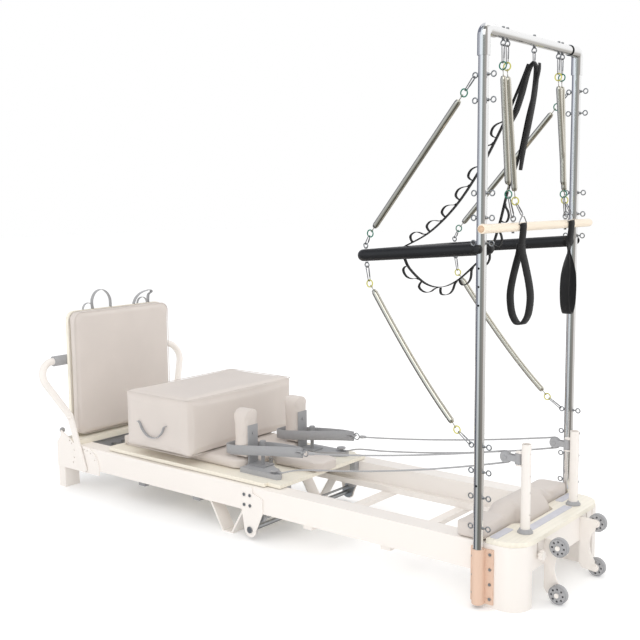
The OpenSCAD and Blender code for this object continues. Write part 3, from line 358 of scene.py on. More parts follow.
def join(name, objs):
    """One object from several, each keeping its materials."""
    bpy.context.view_layer.update()
    with bpy.context.temp_override(active_object=objs[0], selected_editable_objects=objs, selected_objects=objs):
        bpy.ops.object.join()
    objs[0].name = name
    return objs[0]


def smooth_path(points, n):
    """Catmull-Rom through the points, n steps between each two."""
    p = [Vector(q) for q in points]
    out = []
    for i in range(len(p) - 1):
        a, b, c, d = p[max(i - 1, 0)], p[i], p[i + 1], p[min(i + 2, len(p) - 1)]
        for k in range(n):
            t = k / n
            square, cube = 2 * a - 5 * b + 4 * c - d, 3 * b - a - 3 * c + d
            out.append((2 * b + (c - a) * t + square * t * t + cube * t ** 3) / 2)
    return out + [p[-1]]


def frames(path, closed=False):
    """A turning-free pair of axes across the path at each point."""
    n = len(path)
    tangents = []
    for i in range(n):
        a = path[(i - 1) % n] if closed or i else path[0]
        b = path[(i + 1) % n] if closed or i < n - 1 else path[-1]
        tangents.append((b - a).normalized())
    side = tangents[0].orthogonal().normalized()
    pairs = []
    for t in tangents:
        side = (side - t * side.dot(t)).normalized()
        pairs.append((side.copy(), t.cross(side)))
    return pairs


def tube(name, path, radius, look, sides=12, closed=False):
    """A round tube along a path; radius is a number or one for each point."""
    path = [Vector(p) for p in path]
    n = len(path)
    radii = [radius] * n if isinstance(radius, (int, float)) else radius
    verts, uvs, along = [], [], 0.0
    for i, (p, (a, b)) in enumerate(zip(path, frames(path, closed))):
        along += (p - path[i - 1]).length if i else 0
        for k in range(sides):
            t = 2 * math.pi * k / sides
            verts.append(p + (a * math.cos(t) + b * math.sin(t)) * radii[i])
            uvs.append((2 * radii[i] * math.pi * abs(k / sides - 0.5) * 2, along))
    faces = []
    for i in range(n if closed else n - 1):
        j = (i + 1) % n
        for k in range(sides):
            m = (k + 1) % sides
            faces.append((i * sides + k, i * sides + m, j * sides + m, j * sides + k))
    if not closed:
        faces.append(tuple(range(sides - 1, -1, -1)))
        faces.append(tuple((n - 1) * sides + k for k in range(sides)))
    return add(name, verts, faces, look, uvs=uvs)


def ribbon(name, path, across, width, thick, look, widths=None):
    """A flat strap with rounded edges. across gives the direction of its width, and widths its width at each point."""
    path = [Vector(p) for p in path]
    n, k = len(path), 8
    verts, uvs, along = [], [], 0.0
    for i, p in enumerate(path):
        along += (p - path[i - 1]).length if i else 0
        tangent = (path[min(i + 1, n - 1)] - path[max(i - 1, 0)]).normalized()
        wide = Vector(across[i] if isinstance(across, list) else across)
        wide = (wide - tangent * wide.dot(tangent)).normalized()
        up = tangent.cross(wide)
        w, t, e = (widths[i] if widths else width) / 2, thick / 2, min(width, thick) * 0.3
        crown = t * 1.06
        for x, y in ((-w, 0), (-w + e, t), (0, crown), (w - e, t), (w, 0), (w - e, -t), (0, -crown), (-w + e, -t)):
            verts.append(p + wide * x + up * y)
            uvs.append((x, along))
    faces = []
    for i in range(n - 1):
        for s in range(k):
            m = (s + 1) % k
            faces.append((i * k + s, (i + 1) * k + s, (i + 1) * k + m, i * k + m))
    faces.append(tuple(range(k)))
    faces.append(tuple((n - 1) * k + s for s in range(k - 1, -1, -1)))
    obj = add(name, verts, faces, look, uvs=uvs)
    fix_normals(obj)
    return obj


def fix_normals(obj):
    bm = bmesh.new()
    bm.from_mesh(obj.data)
    bmesh.ops.recalc_face_normals(bm, faces=bm.faces)
    bm.to_mesh(obj.data)
    bm.free()


RING_STEPS = 28


def circle_path(centre, a, b, radius):
    centre, a, b = Vector(centre), Vector(a), Vector(b)
    turns = [2 * math.pi * i / RING_STEPS for i in range(RING_STEPS)]
    return [centre + (a * math.cos(t) + b * math.sin(t)) * radius for t in turns]


def ring(name, centre, a, b, radius, wire, look):
    return tube(name, circle_path(centre, a, b, radius), wire / 2, look, 10, True)


SAG_LEAN = 0.35   # how far a bowed spring also moves along X, per metre that it drops


def coil(name, a, b, diameter, wire, look, ridge=0.42, sag=0.0):
    """A close-wound spring from a to b as a ridged tube that narrows at both ends; sag bows it down in the middle."""
    a, b = Vector(a), Vector(b)
    v = b - a
    length = v.length
    turns = max(4, int(length / wire))
    path, radii = [], []
    r = diameter / 2

    def at(t):
        return a + v * t - Vector((SAG_LEAN * math.copysign(1, -v.x or 1), 0, 1)) * (4 * sag * t * (1 - t))

    for i in range(turns):
        for part, k in ((0.0, 1 - wire / diameter * ridge), (0.5, 1.0)):
            t = (i + part) / turns
            edge = min(t, 1 - t) * length / (diameter * 0.5)
            path.append(at(t))
            radii.append(r * k * (0.55 + 0.45 * min(1.0, edge) ** 0.5))
    path.append(at(1.0))
    radii.append(r * 0.5)
    return tube(name, path, radii, look, 20)


def snap_hook(name, a, b, width, wire, look):
    """A pear-shaped carabiner from a to b, flat in the plane that holds both a-b and Y."""
    a, b = Vector(a), Vector(b)
    v = (b - a).normalized()
    side = (Y - v * Y.dot(v)).normalized()
    length = (b - a).length
    r1, r2 = width / 2, width * 0.36
    path = [a + v * r1 - side * math.cos(t) * r1 - v * math.sin(t) * r1 for t in np.linspace(0, math.pi, 11)]
    path += [b - v * r2 + side * math.cos(t) * r2 + v * math.sin(t) * r2 for t in np.linspace(0, math.pi, 11)]
    body = tube(name, path, wire / 2, look, 8, True)
    gate_a = a + v * r1 + side * r1
    gate_b = b - v * r2 + side * r2
    gate = tube(name + "_gate", [gate_a.lerp(gate_b, t) for t in (0.05, 0.1, 0.7, 0.78)],
                [wire * 0.62, wire * 0.72, wire * 0.72, wire * 0.5], look, 10)
    return join(name, [body, gate])


# ---------- soft pads ----------
def remeshed(name, node, voxel, shrink):
    """A copy of a CAD solid, drawn in a little and cut into even faces."""
    source = frame["nodes"][node]
    obj = bpy.data.objects.new(name, source.data.copy())
    bpy.context.scene.collection.objects.link(obj)
    m = obj.modifiers.new("voxels", "REMESH")
    m.mode = "VOXEL"
    m.voxel_size = voxel
    m.use_smooth_shade = True
    d = obj.modifiers.new("shrink", "DISPLACE")
    d.mid_level = 0
    d.strength = -shrink
    apply_all(obj)
    return obj


def apply_all(obj):
    bpy.context.view_layer.update()
    deps = bpy.context.evaluated_depsgraph_get()
    mesh = bpy.data.meshes.new_from_object(obj.evaluated_get(deps))
    obj.modifiers.clear()
    old = obj.data
    obj.data = mesh
    bpy.data.meshes.remove(old)


def relax(obj, rounds):
    s = obj.modifiers.new("relax", "SMOOTH")
    s.iterations = rounds
    s.factor = 0.5
    apply_all(obj)


SKIN_IN = 0.003   # the skin starts inside its CAD solid by this much


def puffed(name, node, voxel, cap, last_frame=14, pressure=4.0):
    """A stuffed pad from a CAD solid: its skin is blown out a little by cloth, nowhere by more than cap."""
    obj = remeshed(name, node, voxel, SKIN_IN)
    relax(obj, 6)
    rest = np.array([v.co for v in obj.data.vertices])
    cloth = obj.modifiers.new("cloth", "CLOTH")
    s = cloth.settings
    s.quality = 4
    s.mass = 0.4
    s.tension_stiffness = s.compression_stiffness = 30
    s.bending_stiffness = 1.5
    s.use_pressure = True
    s.uniform_pressure_force = pressure
    s.effector_weights.gravity = 0
    cloth.point_cache.frame_start = 1
    cloth.point_cache.frame_end = last_frame
    for f in range(1, last_frame + 1):
        bpy.context.scene.frame_set(f)
    apply_all(obj)
    bpy.context.scene.frame_set(1)
    moved = np.array([v.co for v in obj.data.vertices])
    step = moved - rest
    size = np.linalg.norm(step, axis=1, keepdims=True)
    step *= np.minimum(1, cap / np.maximum(size, 1e-9))
    obj.data.vertices.foreach_set("co", (rest + step).ravel())
    obj.data.materials.clear()
    obj.data.materials.append(vinyl)
    obj.data.shade_smooth()
    obj.data.update()
    return obj


PIPING_R = 0.0014


def seam_loop(name, corner, across, up, w, h, r):
    """A welt round a rounded rectangle that starts at corner and spans w along across and h along up."""
    corner = Vector(corner)
    path = []
    for cx, cy, start in ((w - r, r, -90), (w - r, h - r, 0), (r, h - r, 90), (r, r, 180)):
        for k in range(7):
            t = math.radians(start + 15 * k)
            path.append(corner + across * (cx + r * math.cos(t)) + up * (cy + r * math.sin(t)))
    dense = []
    for i, p in enumerate(path):
        q = path[(i + 1) % len(path)]
        steps = max(1, int((q - p).length / 0.03))
        dense += [p.lerp(q, k / steps) for k in range(steps)]
    return tube(name, dense, PIPING_R, piping, 8, True)


def pad(name, node, body, fill, seams, voxel, cap, **cloth):
    obj = puffed(name, node, voxel, cap, **cloth)
    if seams:
        obj = join(name, [obj] + seams)
    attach(obj, body)
    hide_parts(node)
    return obj


WELT_IN = 0.004


def edge_pair(node, name, r, axis):
    """Welts at both faces of a slab that lies flat (z) or stands across X (x)."""
    a = low(node) + Vector((WELT_IN,) * 3)
    b = high(node) - Vector((WELT_IN,) * 3)
    d = b - a
    if axis == "z":
        return [seam_loop(f"{name}_{k}", (a.x, a.y, z), X, Y, d.x, d.y, r) for k, z in enumerate((b.z, a.z))]
    return [seam_loop(f"{name}_{k}", (x, a.y, a.z), Y, Z, d.y, d.z, r) for k, x in enumerate((b.x, a.x))]


def soft_goods():
    flat = dict(pressure=3.0, last_frame=10)
    pad("carriage_mat", "carriage_pad", "carriage", 0.9, [], voxel=0.007, cap=0.004, **flat)
    pad("headrest_cushion", "headrest", "headrest", 0.9, [], voxel=0.006, cap=0.004, **flat)
    for side in ("left", "right"):
        pad(f"{side}_rest_cushion", f"{side}_shoulder_pad", f"{side}_shoulder_rest", 0.85, [], voxel=0.006, cap=0.005)
    pad("platform_pad", "platform_cushion", HEAD_FRAME, 0.9, [], voxel=0.007, cap=0.004)
    pad("jump_board_cushion", "jump_board_pad", "jump_board", 0.85,
        edge_pair("jump_board_pad", "jump_welt", 0.045, "x"), voxel=0.008, cap=0.006, **flat)
    pad("box_cushion", "sitting_box", "sitting_box", 0.9,
        edge_pair("sitting_box", "box_welt", 0.014, "z"), voxel=0.01, cap=0.005, **flat)


soft_goods()


# ---------- springs, rings and hooks ----------
EYE_R = 0.0088
RING_R = 0.013
WIRE_D = 0.0046     # eyebolts and coated rings
HOOK_W = 0.017
HOOK_WIRE = 0.0036
HOOK_A = 0.004      # a hook starts this far from its eye's centre, towards its ring
HOOK_B = 0.0085     # and ends this far short of the ring's centre


def sprung(name, eye_a, a, b, eye_b, diameter, coat, wire=0.0024, ridge=0.12, sag=0.0, lead=0.030):
    """A coil spring between two coated rings at a and b, each with its snap hook on an eye."""
    eye_a, a, b, eye_b = (Vector(p) for p in (eye_a, a, b, eye_b))
    v = (b - a).normalized()
    side = v.cross(Y).normalized()
    parts = [coil(name, a + v * lead, b - v * lead, diameter, wire, spring_steel, ridge=ridge, sag=sag)]
    for tag, eye, end, u in (("a", eye_a, a, v), ("b", eye_b, b, -v)):
        w = (end - eye).normalized()
        parts += [
            ring(f"{name}_ring_{tag}", end, u, side, RING_R, WIRE_D, coat),
            snap_hook(f"{name}_hook_{tag}", eye + w * HOOK_A, end - w * HOOK_B, HOOK_W, HOOK_WIRE, hook_steel),
            tube(f"{name}_end_{tag}", circle_path(end + u * 0.0125, u, Y, 0.0045), 0.0013, spring_steel, 8, True),
            tube(f"{name}_lead_{tag}", [end + u * 0.016, end + u * (lead + 0.004)], 0.0016, spring_steel, 8)]
    return join(name, parts)


def ptb_point(x, y, z):
    """A point of the push-through bar's own frame: x along its arms from the pivot."""
    c, s = math.cos(PTB_DROOP), math.sin(PTB_DROOP)
    return Vector((PTB_PIVOT.x + x * c - z * s, y, PTB_PIVOT.z + x * s + z * c))


def tower_point(x, y, z):
    return Vector((X_TOWER + x, y, z))


# name, above (1) or below (-1) the bar, ring at the bar and ring at the post as (x from the tower, y, z), height
# of the post's eye, bow
PTB_SPRINGS = (
    ("upper", 1, (-0.489, 0.317, 1.297), (-0.076, 0.354, 1.772), 1.825, 0.0),
    ("lower", -1, (-0.492, 0.317, 1.112), (-0.092, 0.354, 0.622), 0.579, 0.034))


def push_bar_springs():
    for s in SIDES:
        for where, k, a, b, height, sag in PTB_SPRINGS:
            bar_eye = ptb_point(PTB_EYE_X, s * PTB_Y, k * PTB_EYE_Z)
            post_eye = tower_point(POST_EYE_IN, s * TOWER_Y, height)
            obj = sprung(f"push_spring_{where}_{side_name(s)}", bar_eye, tower_point(a[0], s * a[1], a[2]),
                         tower_point(b[0], s * b[1], b[2]), post_eye, 0.0225, green if k > 0 else yellow, sag=sag)
            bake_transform(obj)
    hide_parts("ptb_springs")


push_bar_springs()


def roll_bar_springs():
    """On each side one spring carries the bar by its eyebolt and the other carries the hand loop."""
    for s in SIDES:
        for outer, top_y in enumerate(TOP_EYES):
            top_ring = (X_TOWER, s * top_y, RING_Z)
            if outer:
                y, diameter, coat, ring_z = BAR_EYE_Y[s], 0.0225, green, 1.435
                low_eye = Vector((BAR_X, y, BAR_Z + BAR_EYE_LIFT))
            else:
                y, diameter, coat, ring_z = LOOP_Y[s], 0.021, yellow, 1.412
                low_eye = Vector((BAR_X + LOOP_FRONT, y, BAR_Z + 0.036))
            wire, ridge = (0.0046, 0.5) if outer and s < 0 else (0.0024, 0.12)
            obj = sprung(f"roll_spring_{side_name(s)}_{'outer' if outer else 'inner'}",
                         (X_TOWER, s * top_y, TOP_EYE_Z), top_ring, (BAR_X - 0.004, RING_Y[s, outer], ring_z), low_eye,
                         diameter, coat, wire, ridge=ridge, lead=0.034)
            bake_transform(obj)
    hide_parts("roll_springs")


roll_bar_springs()


def eyebolt(name, centre, direction, stem):
    """A round-wire eye with its shank along direction, which ends in a nut 5 mm plus stem from the eye's centre."""
    centre, direction = Vector(centre), Vector(direction)
    near, far = centre + direction * (0.005 + stem), centre + direction * (0.011 + stem)
    return [ring(name, centre, direction, Z if abs(direction.z) < 0.5 else X, EYE_R, WIRE_D, steel),
            tube(name + "_shank", [centre + direction * 0.0095, far], 0.0026, steel, 12),
            tube(name + "_nut", [near, far], 0.0055, steel, 6)]


def eyebolts():
    for s, node in ((-1, "left_eyebolts"), (1, "right_eyebolts")):
        parts = []
        for i, z in enumerate(EYEBOLT_HEIGHTS):
            parts += eyebolt(f"{node}_in_{i}", (X_TOWER + POST_EYE_IN, s * TOWER_Y, z), (1, 0, 0), 0.004)
            parts += eyebolt(f"{node}_out_{i}", (X_TOWER + POST_EYE_OUT, s * TOWER_Y, z), (-1, 0, 0), 0.012)
        tops = [s * y for y in TOP_EYES] + ([0.0] if s < 0 else [])
        for i, y in enumerate(tops):
            parts += eyebolt(f"{node}_top_{i}", (X_TOWER, y, TOP_EYE_Z), (0, 0, 1), 0.004)
            parts.append(tube(f"{node}_cap_{i}", [(X_TOWER, y, TOP_BAR_Z + z) for z in (0.0165, 0.0215, 0.0235)],
                              [0.0058, 0.0058, 0.0035], steel, 6))
        obj = join(f"{node}_set", parts)
        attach(obj, HEAD_FRAME)
        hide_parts(node)


eyebolts()


def bar_ring():
    """A black rubber ring on the top bar beside the far elbow."""
    centre = Vector((X_TOWER, BLACK_RING_Y, TOP_BAR_Z))
    r = (high("tower_top_bar").x - low("tower_top_bar").x) / 2
    half = 0.005
    obj = tube("bar_ring", [centre + Y * d for d in (-half, -0.8 * half, 0.8 * half, half)],
               [r + 0.0005, r + 0.003, r + 0.003, r + 0.0005], black_plastic, 32)
    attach(obj, HEAD_FRAME)


bar_ring()


# ---------- push-through bar ----------
def push_bar():
    path = []
    for s in SIDES:
        arm = [ptb_point(x, s * PTB_Y, 0) for x in np.linspace(0, PTB_EYE_X, 24)]
        bend = [ptb_point(PTB_EYE_X - PTB_R * math.sin(t), s * (PTB_Y - PTB_R + PTB_R * math.cos(t)), 0)
                for t in np.linspace(0, math.pi / 2, 9)[1:]]
        path.append(arm + bend)
    parts = [tube("push_bar_foam", path[0] + path[1][::-1], PTB_D / 2, black_foam, 24)]
    for s in SIDES:
        for k in (-1, 1):
            eye = ptb_point(PTB_EYE_X, s * PTB_Y, k * PTB_EYE_Z)
            up = (ptb_point(PTB_EYE_X, s * PTB_Y, 0) - eye).normalized()
            parts += eyebolt(f"push_eye_{s}_{k}", eye, up, 0.001)
        parts.append(tube(f"push_axle_{s}", [(PTB_PIVOT.x, s * (PTB_Y + 0.004), PTB_PIVOT.z),
                                             (PTB_PIVOT.x, s * (TOWER_Y + 0.02), PTB_PIVOT.z)], 0.006, steel, 16))
        knob = [(PTB_PIVOT.x, s * (TOWER_Y + 0.0175 + y), PTB_PIVOT.z) for y in (0.001, 0.002, 0.012, 0.0155, 0.017)]
        parts.append(tube(f"push_knob_{s}", knob, [0.013, 0.0155, 0.0155, 0.013, 0.008], black_plastic, 24))
        tip = [ptb_point(x, s * PTB_Y, 0) for x in (0.0, 0.012, 0.019, 0.0215)]
        parts.append(tube(f"push_tip_{s}", tip, [0.022, 0.0185, 0.0115, 0.004], black_plastic, 24))
    obj = join("push_bar_visual", parts)
    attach(obj, "push_bar")
    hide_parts("push_through_bar")


push_bar()


# ---------- centre strap ----------
# a sewn loop of the daisy chain: shares of its span along the band, and of the span away from it
SCALLOP = ((0.0, 0.0), (-0.03, 0.17), (0.02, 0.33), (0.2, 0.40), (0.42, 0.385), (0.64, 0.26), (0.84, 0.06), (1.0, 0.0))
# the wide padded part at the top, folded over the snap hook: (x, z) below the fold, and the widths there
WIDE_FALL = (((0.0, 0), (-0.022, -0.030), (-0.045, -0.105), (-0.066, -0.165), (-0.085, -0.205)),
             (0.022, 0.040, 0.046, 0.044, 0.026))
WIDE_RISE = (((0.0, 0), (0.010, -0.030), (0.002, -0.120), (-0.018, -0.230), (-0.034, -0.300), (-0.046, -0.380)),
             (0.022, 0.038, 0.040, 0.036, 0.034, 0.022))


def centre_strap():
    wrap_r = PTB_D / 2 + 0.0023
    hub = Vector((-PTB_LEN * math.cos(PTB_DROOP), 0, PTB_PIVOT.z - PTB_LEN * math.sin(PTB_DROOP)))

    def hang(x, k):
        return Vector((x, 0, PTB_PIVOT.z + k * (STRAP_TOP - PTB_PIVOT.z)))

    def under(x, drop):
        return Vector((x, 0, PTB_PIVOT.z - drop))

    around = [hub + Vector((math.cos(math.radians(a)), 0, math.sin(math.radians(a)))) * wrap_r
              for a in range(117, 208, 6)]
    fall = [hang(-0.022, 1), hang(-0.060, 0.866), hang(-0.131, 0.642), hang(-0.221, 0.408), hang(-0.319, 0.212),
            hang(-0.431, 0.061), around[0]]
    rise = [around[-1], under(-0.528, 0.104), under(-0.453, 0.162), under(-0.379, 0.174), under(-0.303, 0.143),
            under(-0.217, 0.071), under(-0.165, 0.024), hang(-0.130, 0.103), hang(-0.095, 0.307),
            hang(-0.056, 0.477), hang(-0.020, 0.726), hang(0.018, 0.935), hang(0.022, 1)]
    falling = smooth_path(fall, 8)
    path = [p + Vector((X_TOWER, 0, 0)) for p in falling + around[1:-1] + smooth_path(rise, 8)]
    parts = [ribbon("strap_band", path, Y, 0.019, 0.0026, black_webbing)]
    lengths = np.cumsum([0] + [(b - a).length for a, b in zip(path, path[1:])])

    def at(d):
        i = min(max(int(np.searchsorted(lengths, d)), 1), len(path) - 1)
        t = (d - lengths[i - 1]) / max(lengths[i] - lengths[i - 1], 1e-9)
        return path[i - 1].lerp(path[i], t), (path[i] - path[i - 1]).normalized()

    # the sewn loops lean down their own strand: seven on the way down, and seven on the way back up
    fallen = sum((b - a).length for a, b in zip(falling, falling[1:]))
    wrapped = fallen + wrap_r * math.radians(90)
    spots = [(fallen - 0.035 - 0.091 * i, -1, 0.073) for i in range(7)]
    spots += [(wrapped + 0.050 + 0.090 * i, 1, 0.076) for i in range(4)]
    spots += [(wrapped + 0.430 + 0.092 * i, 1, 0.066) for i in range(3)]
    for n, (d, run, span) in enumerate(spots):
        loop = []
        for t, h in SCALLOP:
            p, tangent = at(d + run * t * span)
            loop.append(p - tangent.cross(Y) * (h * span + 0.0026))
        parts.append(ribbon(f"strap_loop_{n}", smooth_path(loop, 4), Y, 0.017, 0.0022, black_webbing))
    top = Vector((X_TOWER, 0, STRAP_TOP + 0.006))
    for n, (pts, widths) in enumerate((WIDE_FALL, WIDE_RISE)):
        route = smooth_path([top + Vector((x, 0, z)) for x, z in pts], 6)
        wide = np.interp(np.linspace(0, len(pts) - 1, len(route)), range(len(pts)), widths)
        parts.append(ribbon(f"strap_wide_{n}", route, Y, 0.04, 0.005, black_webbing, widths=list(wide)))
    parts.append(snap_hook("strap_hook", (X_TOWER, 0, TOP_EYE_Z - HOOK_A), (X_TOWER, 0, STRAP_TOP - 0.002),
                           HOOK_W, HOOK_WIRE, hook_steel))
    obj = join("centre_strap_visual", parts)
    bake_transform(obj)
    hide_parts("centre_strap")


centre_strap()


# ---------- roll-down bar and hand loops ----------
def roll_bar():
    near, far, r = -0.424, 0.433, 0.0155
    ends = [(near, r - 0.003), (near + 0.0015, r - 0.0008), (near + 0.006, r)]
    ends += [(y, r) for y in np.linspace(near + 0.03, far - 0.03, 20)]
    ends += [(far - 0.006, r), (far - 0.0015, r - 0.0008), (far, r - 0.003)]
    parts = [tube("roll_bar_wood", [(BAR_X, y, BAR_Z) for y, _ in ends], [q for _, q in ends], bar_wood, 28)]
    for s, y in ((-1, near), (1, far)):
        eye_y = BAR_EYE_Y[s]
        parts.append(tube(f"roll_bar_end_{s}", [(BAR_X, y - 0.002 * s, BAR_Z), (BAR_X, y + 0.0004 * s, BAR_Z)],
                          r - 0.0034, end_grain, 28))
        parts += eyebolt(f"roll_eye_{s}", (BAR_X, eye_y, BAR_Z + BAR_EYE_LIFT), (0, 0, -1), 0.001)
        parts.append(tube(f"roll_nut_{s}", [(BAR_X, eye_y, BAR_Z - z) for z in (0.014, 0.021)], 0.0052, steel, 6))
    obj = join("roll_bar_visual", parts)
    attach(obj, "roll_bar")
    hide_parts("roll_down_bar")


roll_bar()

# half of a hand loop from its neck down: mm across, and mm below the bar's axis
LOOP_HALF = ((3, 58), (7, 88), (20, 128), (39, 195), (46, 245), (38, 300), (18, 332))
LOOP_BOTTOM = 338
LOOP_TURNS = {-1: -14.5, 1: 97}   # degrees about Z
NECK_TURN = math.radians(LOOP_TURNS[-1])
TWIST = (0.060, 0.13)   # the twist starts this far below the bar, and is whole after the second length
D_RING = ((-0.019, 0.009), (0.019, 0.009), (0.017, 0.017), (0.006, 0.036), (-0.006, 0.036), (-0.017, 0.017))


def hand_loops():
    """Each loop hangs in front of the bar from its spring by a D-ring."""
    made = []
    down = [(-x, z) for x, z in LOOP_HALF]
    flat = down + [(0, LOOP_BOTTOM)] + [(x, z) for x, z in LOOP_HALF[::-1]]
    aside = (-math.sin(NECK_TURN), math.cos(NECK_TURN), 0)
    neck = [(LOOP_FRONT - 0.001, 0.011), (LOOP_FRONT + 0.0025, 0.008), (LOOP_FRONT + 0.002, -0.010),
            (LOOP_FRONT * 0.95, -0.040), (LOOP_FRONT * 0.8, -0.062), (LOOP_FRONT * 0.7, -0.078)]
    for s in SIDES:
        y0, turn = LOOP_Y[s], math.radians(LOOP_TURNS[s])
        c, n = math.cos(turn), math.sin(turn)
        path = smooth_path([Vector((BAR_X + LOOP_FRONT * 0.7 + x / 1000 * c, y0 + x / 1000 * n, BAR_Z - z / 1000))
                            for x, z in flat], 5)
        across = []
        for p in path:
            k = min(1.0, max(0.0, (BAR_Z - TWIST[0] - p.z) / TWIST[1]))
            t = NECK_TURN + (turn - NECK_TURN) * k
            across.append((-math.sin(t), math.cos(t), 0))
        parts = [ribbon(f"loop_band_{s}", path, across, 0.036, 0.0056, black_webbing),
                 ribbon(f"loop_neck_{s}", smooth_path([(BAR_X + x, y0, BAR_Z + z) for x, z in neck], 5), aside, 0.032,
                        0.0068, black_webbing),
                 tube(f"loop_ring_{s}", [(BAR_X + LOOP_FRONT + a * aside[0], y0 + a * aside[1], BAR_Z + z)
                                         for a, z in D_RING], 0.0019, hook_steel, 8, True)]
        made.append(join(f"hand_loop_{side_name(s)}", parts))
    for obj in made:
        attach(obj, "roll_bar")
    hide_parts("hand_loops")


hand_loops()


# ---------- carriage springs, straps and ropes ----------
def foot_springs():
    parts = []
    x0, x1 = low("carriage_springs").x, high("carriage_springs").x
    for i in range(-2, 3):
        y = i * 0.062
        z = middle("carriage_springs").z
        parts.append(coil(f"carriage_spring_{i}", (x0 + 0.012, y, z), (x1 - 0.012, y, z), 0.0235, 0.0034, steel))
        for tag, x, d in (("foot", x0 + 0.006, 1), ("head", x1 - 0.006, -1)):
            parts.append(ring(f"carriage_spring_{i}_{tag}", (x, y, z), X, Z, 0.0055, 0.0028, steel))
    obj = join("carriage_spring_set", parts)
    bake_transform(obj)
    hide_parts("carriage_springs")


foot_springs()

# one side of a hand strap from its ring to its round end: x from the fold, y from the rest and z, in metres
STRAP_SIDE = ((0.165, 0.002, 0.366), (0.090, 0.020, 0.362), (-0.030, 0.038, 0.350), (-0.150, 0.0452, 0.336),
              (-0.210, 0.0452, 0.330), (-0.238, 0.042, 0.330), (-0.256, 0.030, 0.328))
STRAP_TAB = ((-0.045, 0.004), (-0.02, 0.005), (-0.0115, 0.003), (-0.0105, 0), (-0.0115, -0.003), (-0.02, -0.005),
             (-0.045, -0.004))


def hand_straps():
    parts = []
    out = (STRAP_RING.y - REST_Y) / STRAP_SIDE[0][0]   # past the fold it runs outwards to its ring
    flat = list(STRAP_SIDE) + [(-0.258, 0, 0.328)] + [(x, -y, z) for x, y, z in STRAP_SIDE[::-1]]
    for s in SIDES:
        route = [Vector((FOLD_X + x, s * (REST_Y + y + out * max(x, 0)), z)) for x, y, z in flat]
        parts.append(ribbon(f"strap_{s}", smooth_path(route, 6), Z, 0.043, 0.0026, grey_webbing))
        end = Vector((STRAP_RING.x, s * STRAP_RING.y, STRAP_RING.z))
        parts.append(ring(f"strap_ring_{s}", end, X, Z, 0.0145, WIRE_D, steel))
        parts.append(ribbon(f"strap_tab_{s}", [end + Vector((x, 0, z)) for x, z in STRAP_TAB], Y, 0.03, 0.0024,
                            grey_webbing))
    obj = join("hand_strap_pair", parts)
    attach(obj, "carriage")
    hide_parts("hand_straps")


hand_straps()


def ropes():
    rope_r = SHEAVE_D / 2 - 0.0006
    knot = (STRAP_RING.x + 0.0178, STRAP_RING.z)
    cleat = (FOLD_X + 0.297, 0.316)
    tie_x = FOLD_X + 0.0515
    made = []
    for s in SIDES:
        hub = PULLEYS[s]

        def touch(p, sign):
            """The angle on the sheave at which a line from p leaves it."""
            dx, dz = hub.x - p[0], hub.z - p[1]
            length = math.hypot(dx, dz)
            a = math.atan2(dz, dx) + sign * math.asin(rope_r / length)
            k = math.sqrt(length ** 2 - rope_r ** 2)
            return math.atan2(p[1] + k * math.sin(a) - hub.z, p[0] + k * math.cos(a) - hub.x)

        a0, a1 = touch(knot, 1), touch(cleat, -1)
        wrap = [hub + Vector((math.cos(t), 0, math.sin(t))) * rope_r for t in np.linspace(a0, a1, 17)]
        turn = tube(f"rope_turn_{s}", wrap, ROPE_R, rope, 12)
        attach(turn, HEAD_FRAME)
        start = Vector((knot[0], s * STRAP_RING.y, knot[1]))
        end = wrap[0]
        upper = [start.lerp(end, t) + Vector((0, 0, -0.012 * 4 * t * (1 - t))) for t in np.linspace(0, 1, 24)]
        lead = tube(f"rope_upper_{s}", upper, ROPE_R, rope, 12)
        v = (end - start).normalized()
        knotted = tube(f"rope_knot_{s}", [start + v * d for d in (0.0, 0.004, 0.012, 0.022, 0.03, 0.034)],
                       [0.004, 0.0068, 0.0075, 0.0068, 0.0064, 0.0038], rope, 12)
        lead = join(f"rope_upper_{s}", [lead, knotted])
        a = wrap[-1]
        b = Vector((cleat[0], s * 0.196, cleat[1]))
        lower = [a.lerp(b, t) + Vector((0, 0, -0.014 * 4 * t * (1 - t))) for t in np.linspace(0, 1, 22)]
        lower += smooth_path([b, (FOLD_X + 0.170, s * 0.214, 0.300), (FOLD_X + 0.090, s * 0.2265, 0.2775),
                              (tie_x, s * 0.232, 0.2765)], 8)[1:]
        back = tube(f"rope_lower_{s}", lower, ROPE_R, rope, 12)
        for obj, far_x in ((lead, knot[0]), (back, tie_x)):
            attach(obj, HEAD_FRAME)
            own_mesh(obj)
        made += [turn, lead, back]
    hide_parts("pull_ropes")


ropes()


# ---------- webbing loops of the jump board and the sitting box ----------
# (y, z) of each loop over the board's top edge
BOARD_LOOPS = (
    ((-0.150, 0), (-0.151, 0.045), (-0.130, 0.080), (-0.095, 0.093), (-0.062, 0.080), (-0.038, 0.045), (-0.035, 0)),
    ((0.118, 0), (0.135, 0.030), (0.172, 0.055), (0.232, 0.066), (0.243, 0.054), (0.222, 0.040), (0.218, 0)))


def board_loops():
    """The two lifting loops of webbing sewn to the jump board's top edge."""
    x, top = middle("jump_board_panel").x, BOARD_TOP + 0.0004
    made = [ribbon(f"board_loop_{n}", smooth_path([Vector((x, y, top + z)) for y, z in pts], 6), X, 0.022, 0.0024,
                   grey_webbing) for n, pts in enumerate(BOARD_LOOPS)]
    obj = join("board_loop_pair", made)
    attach(obj, "jump_board")


board_loops()


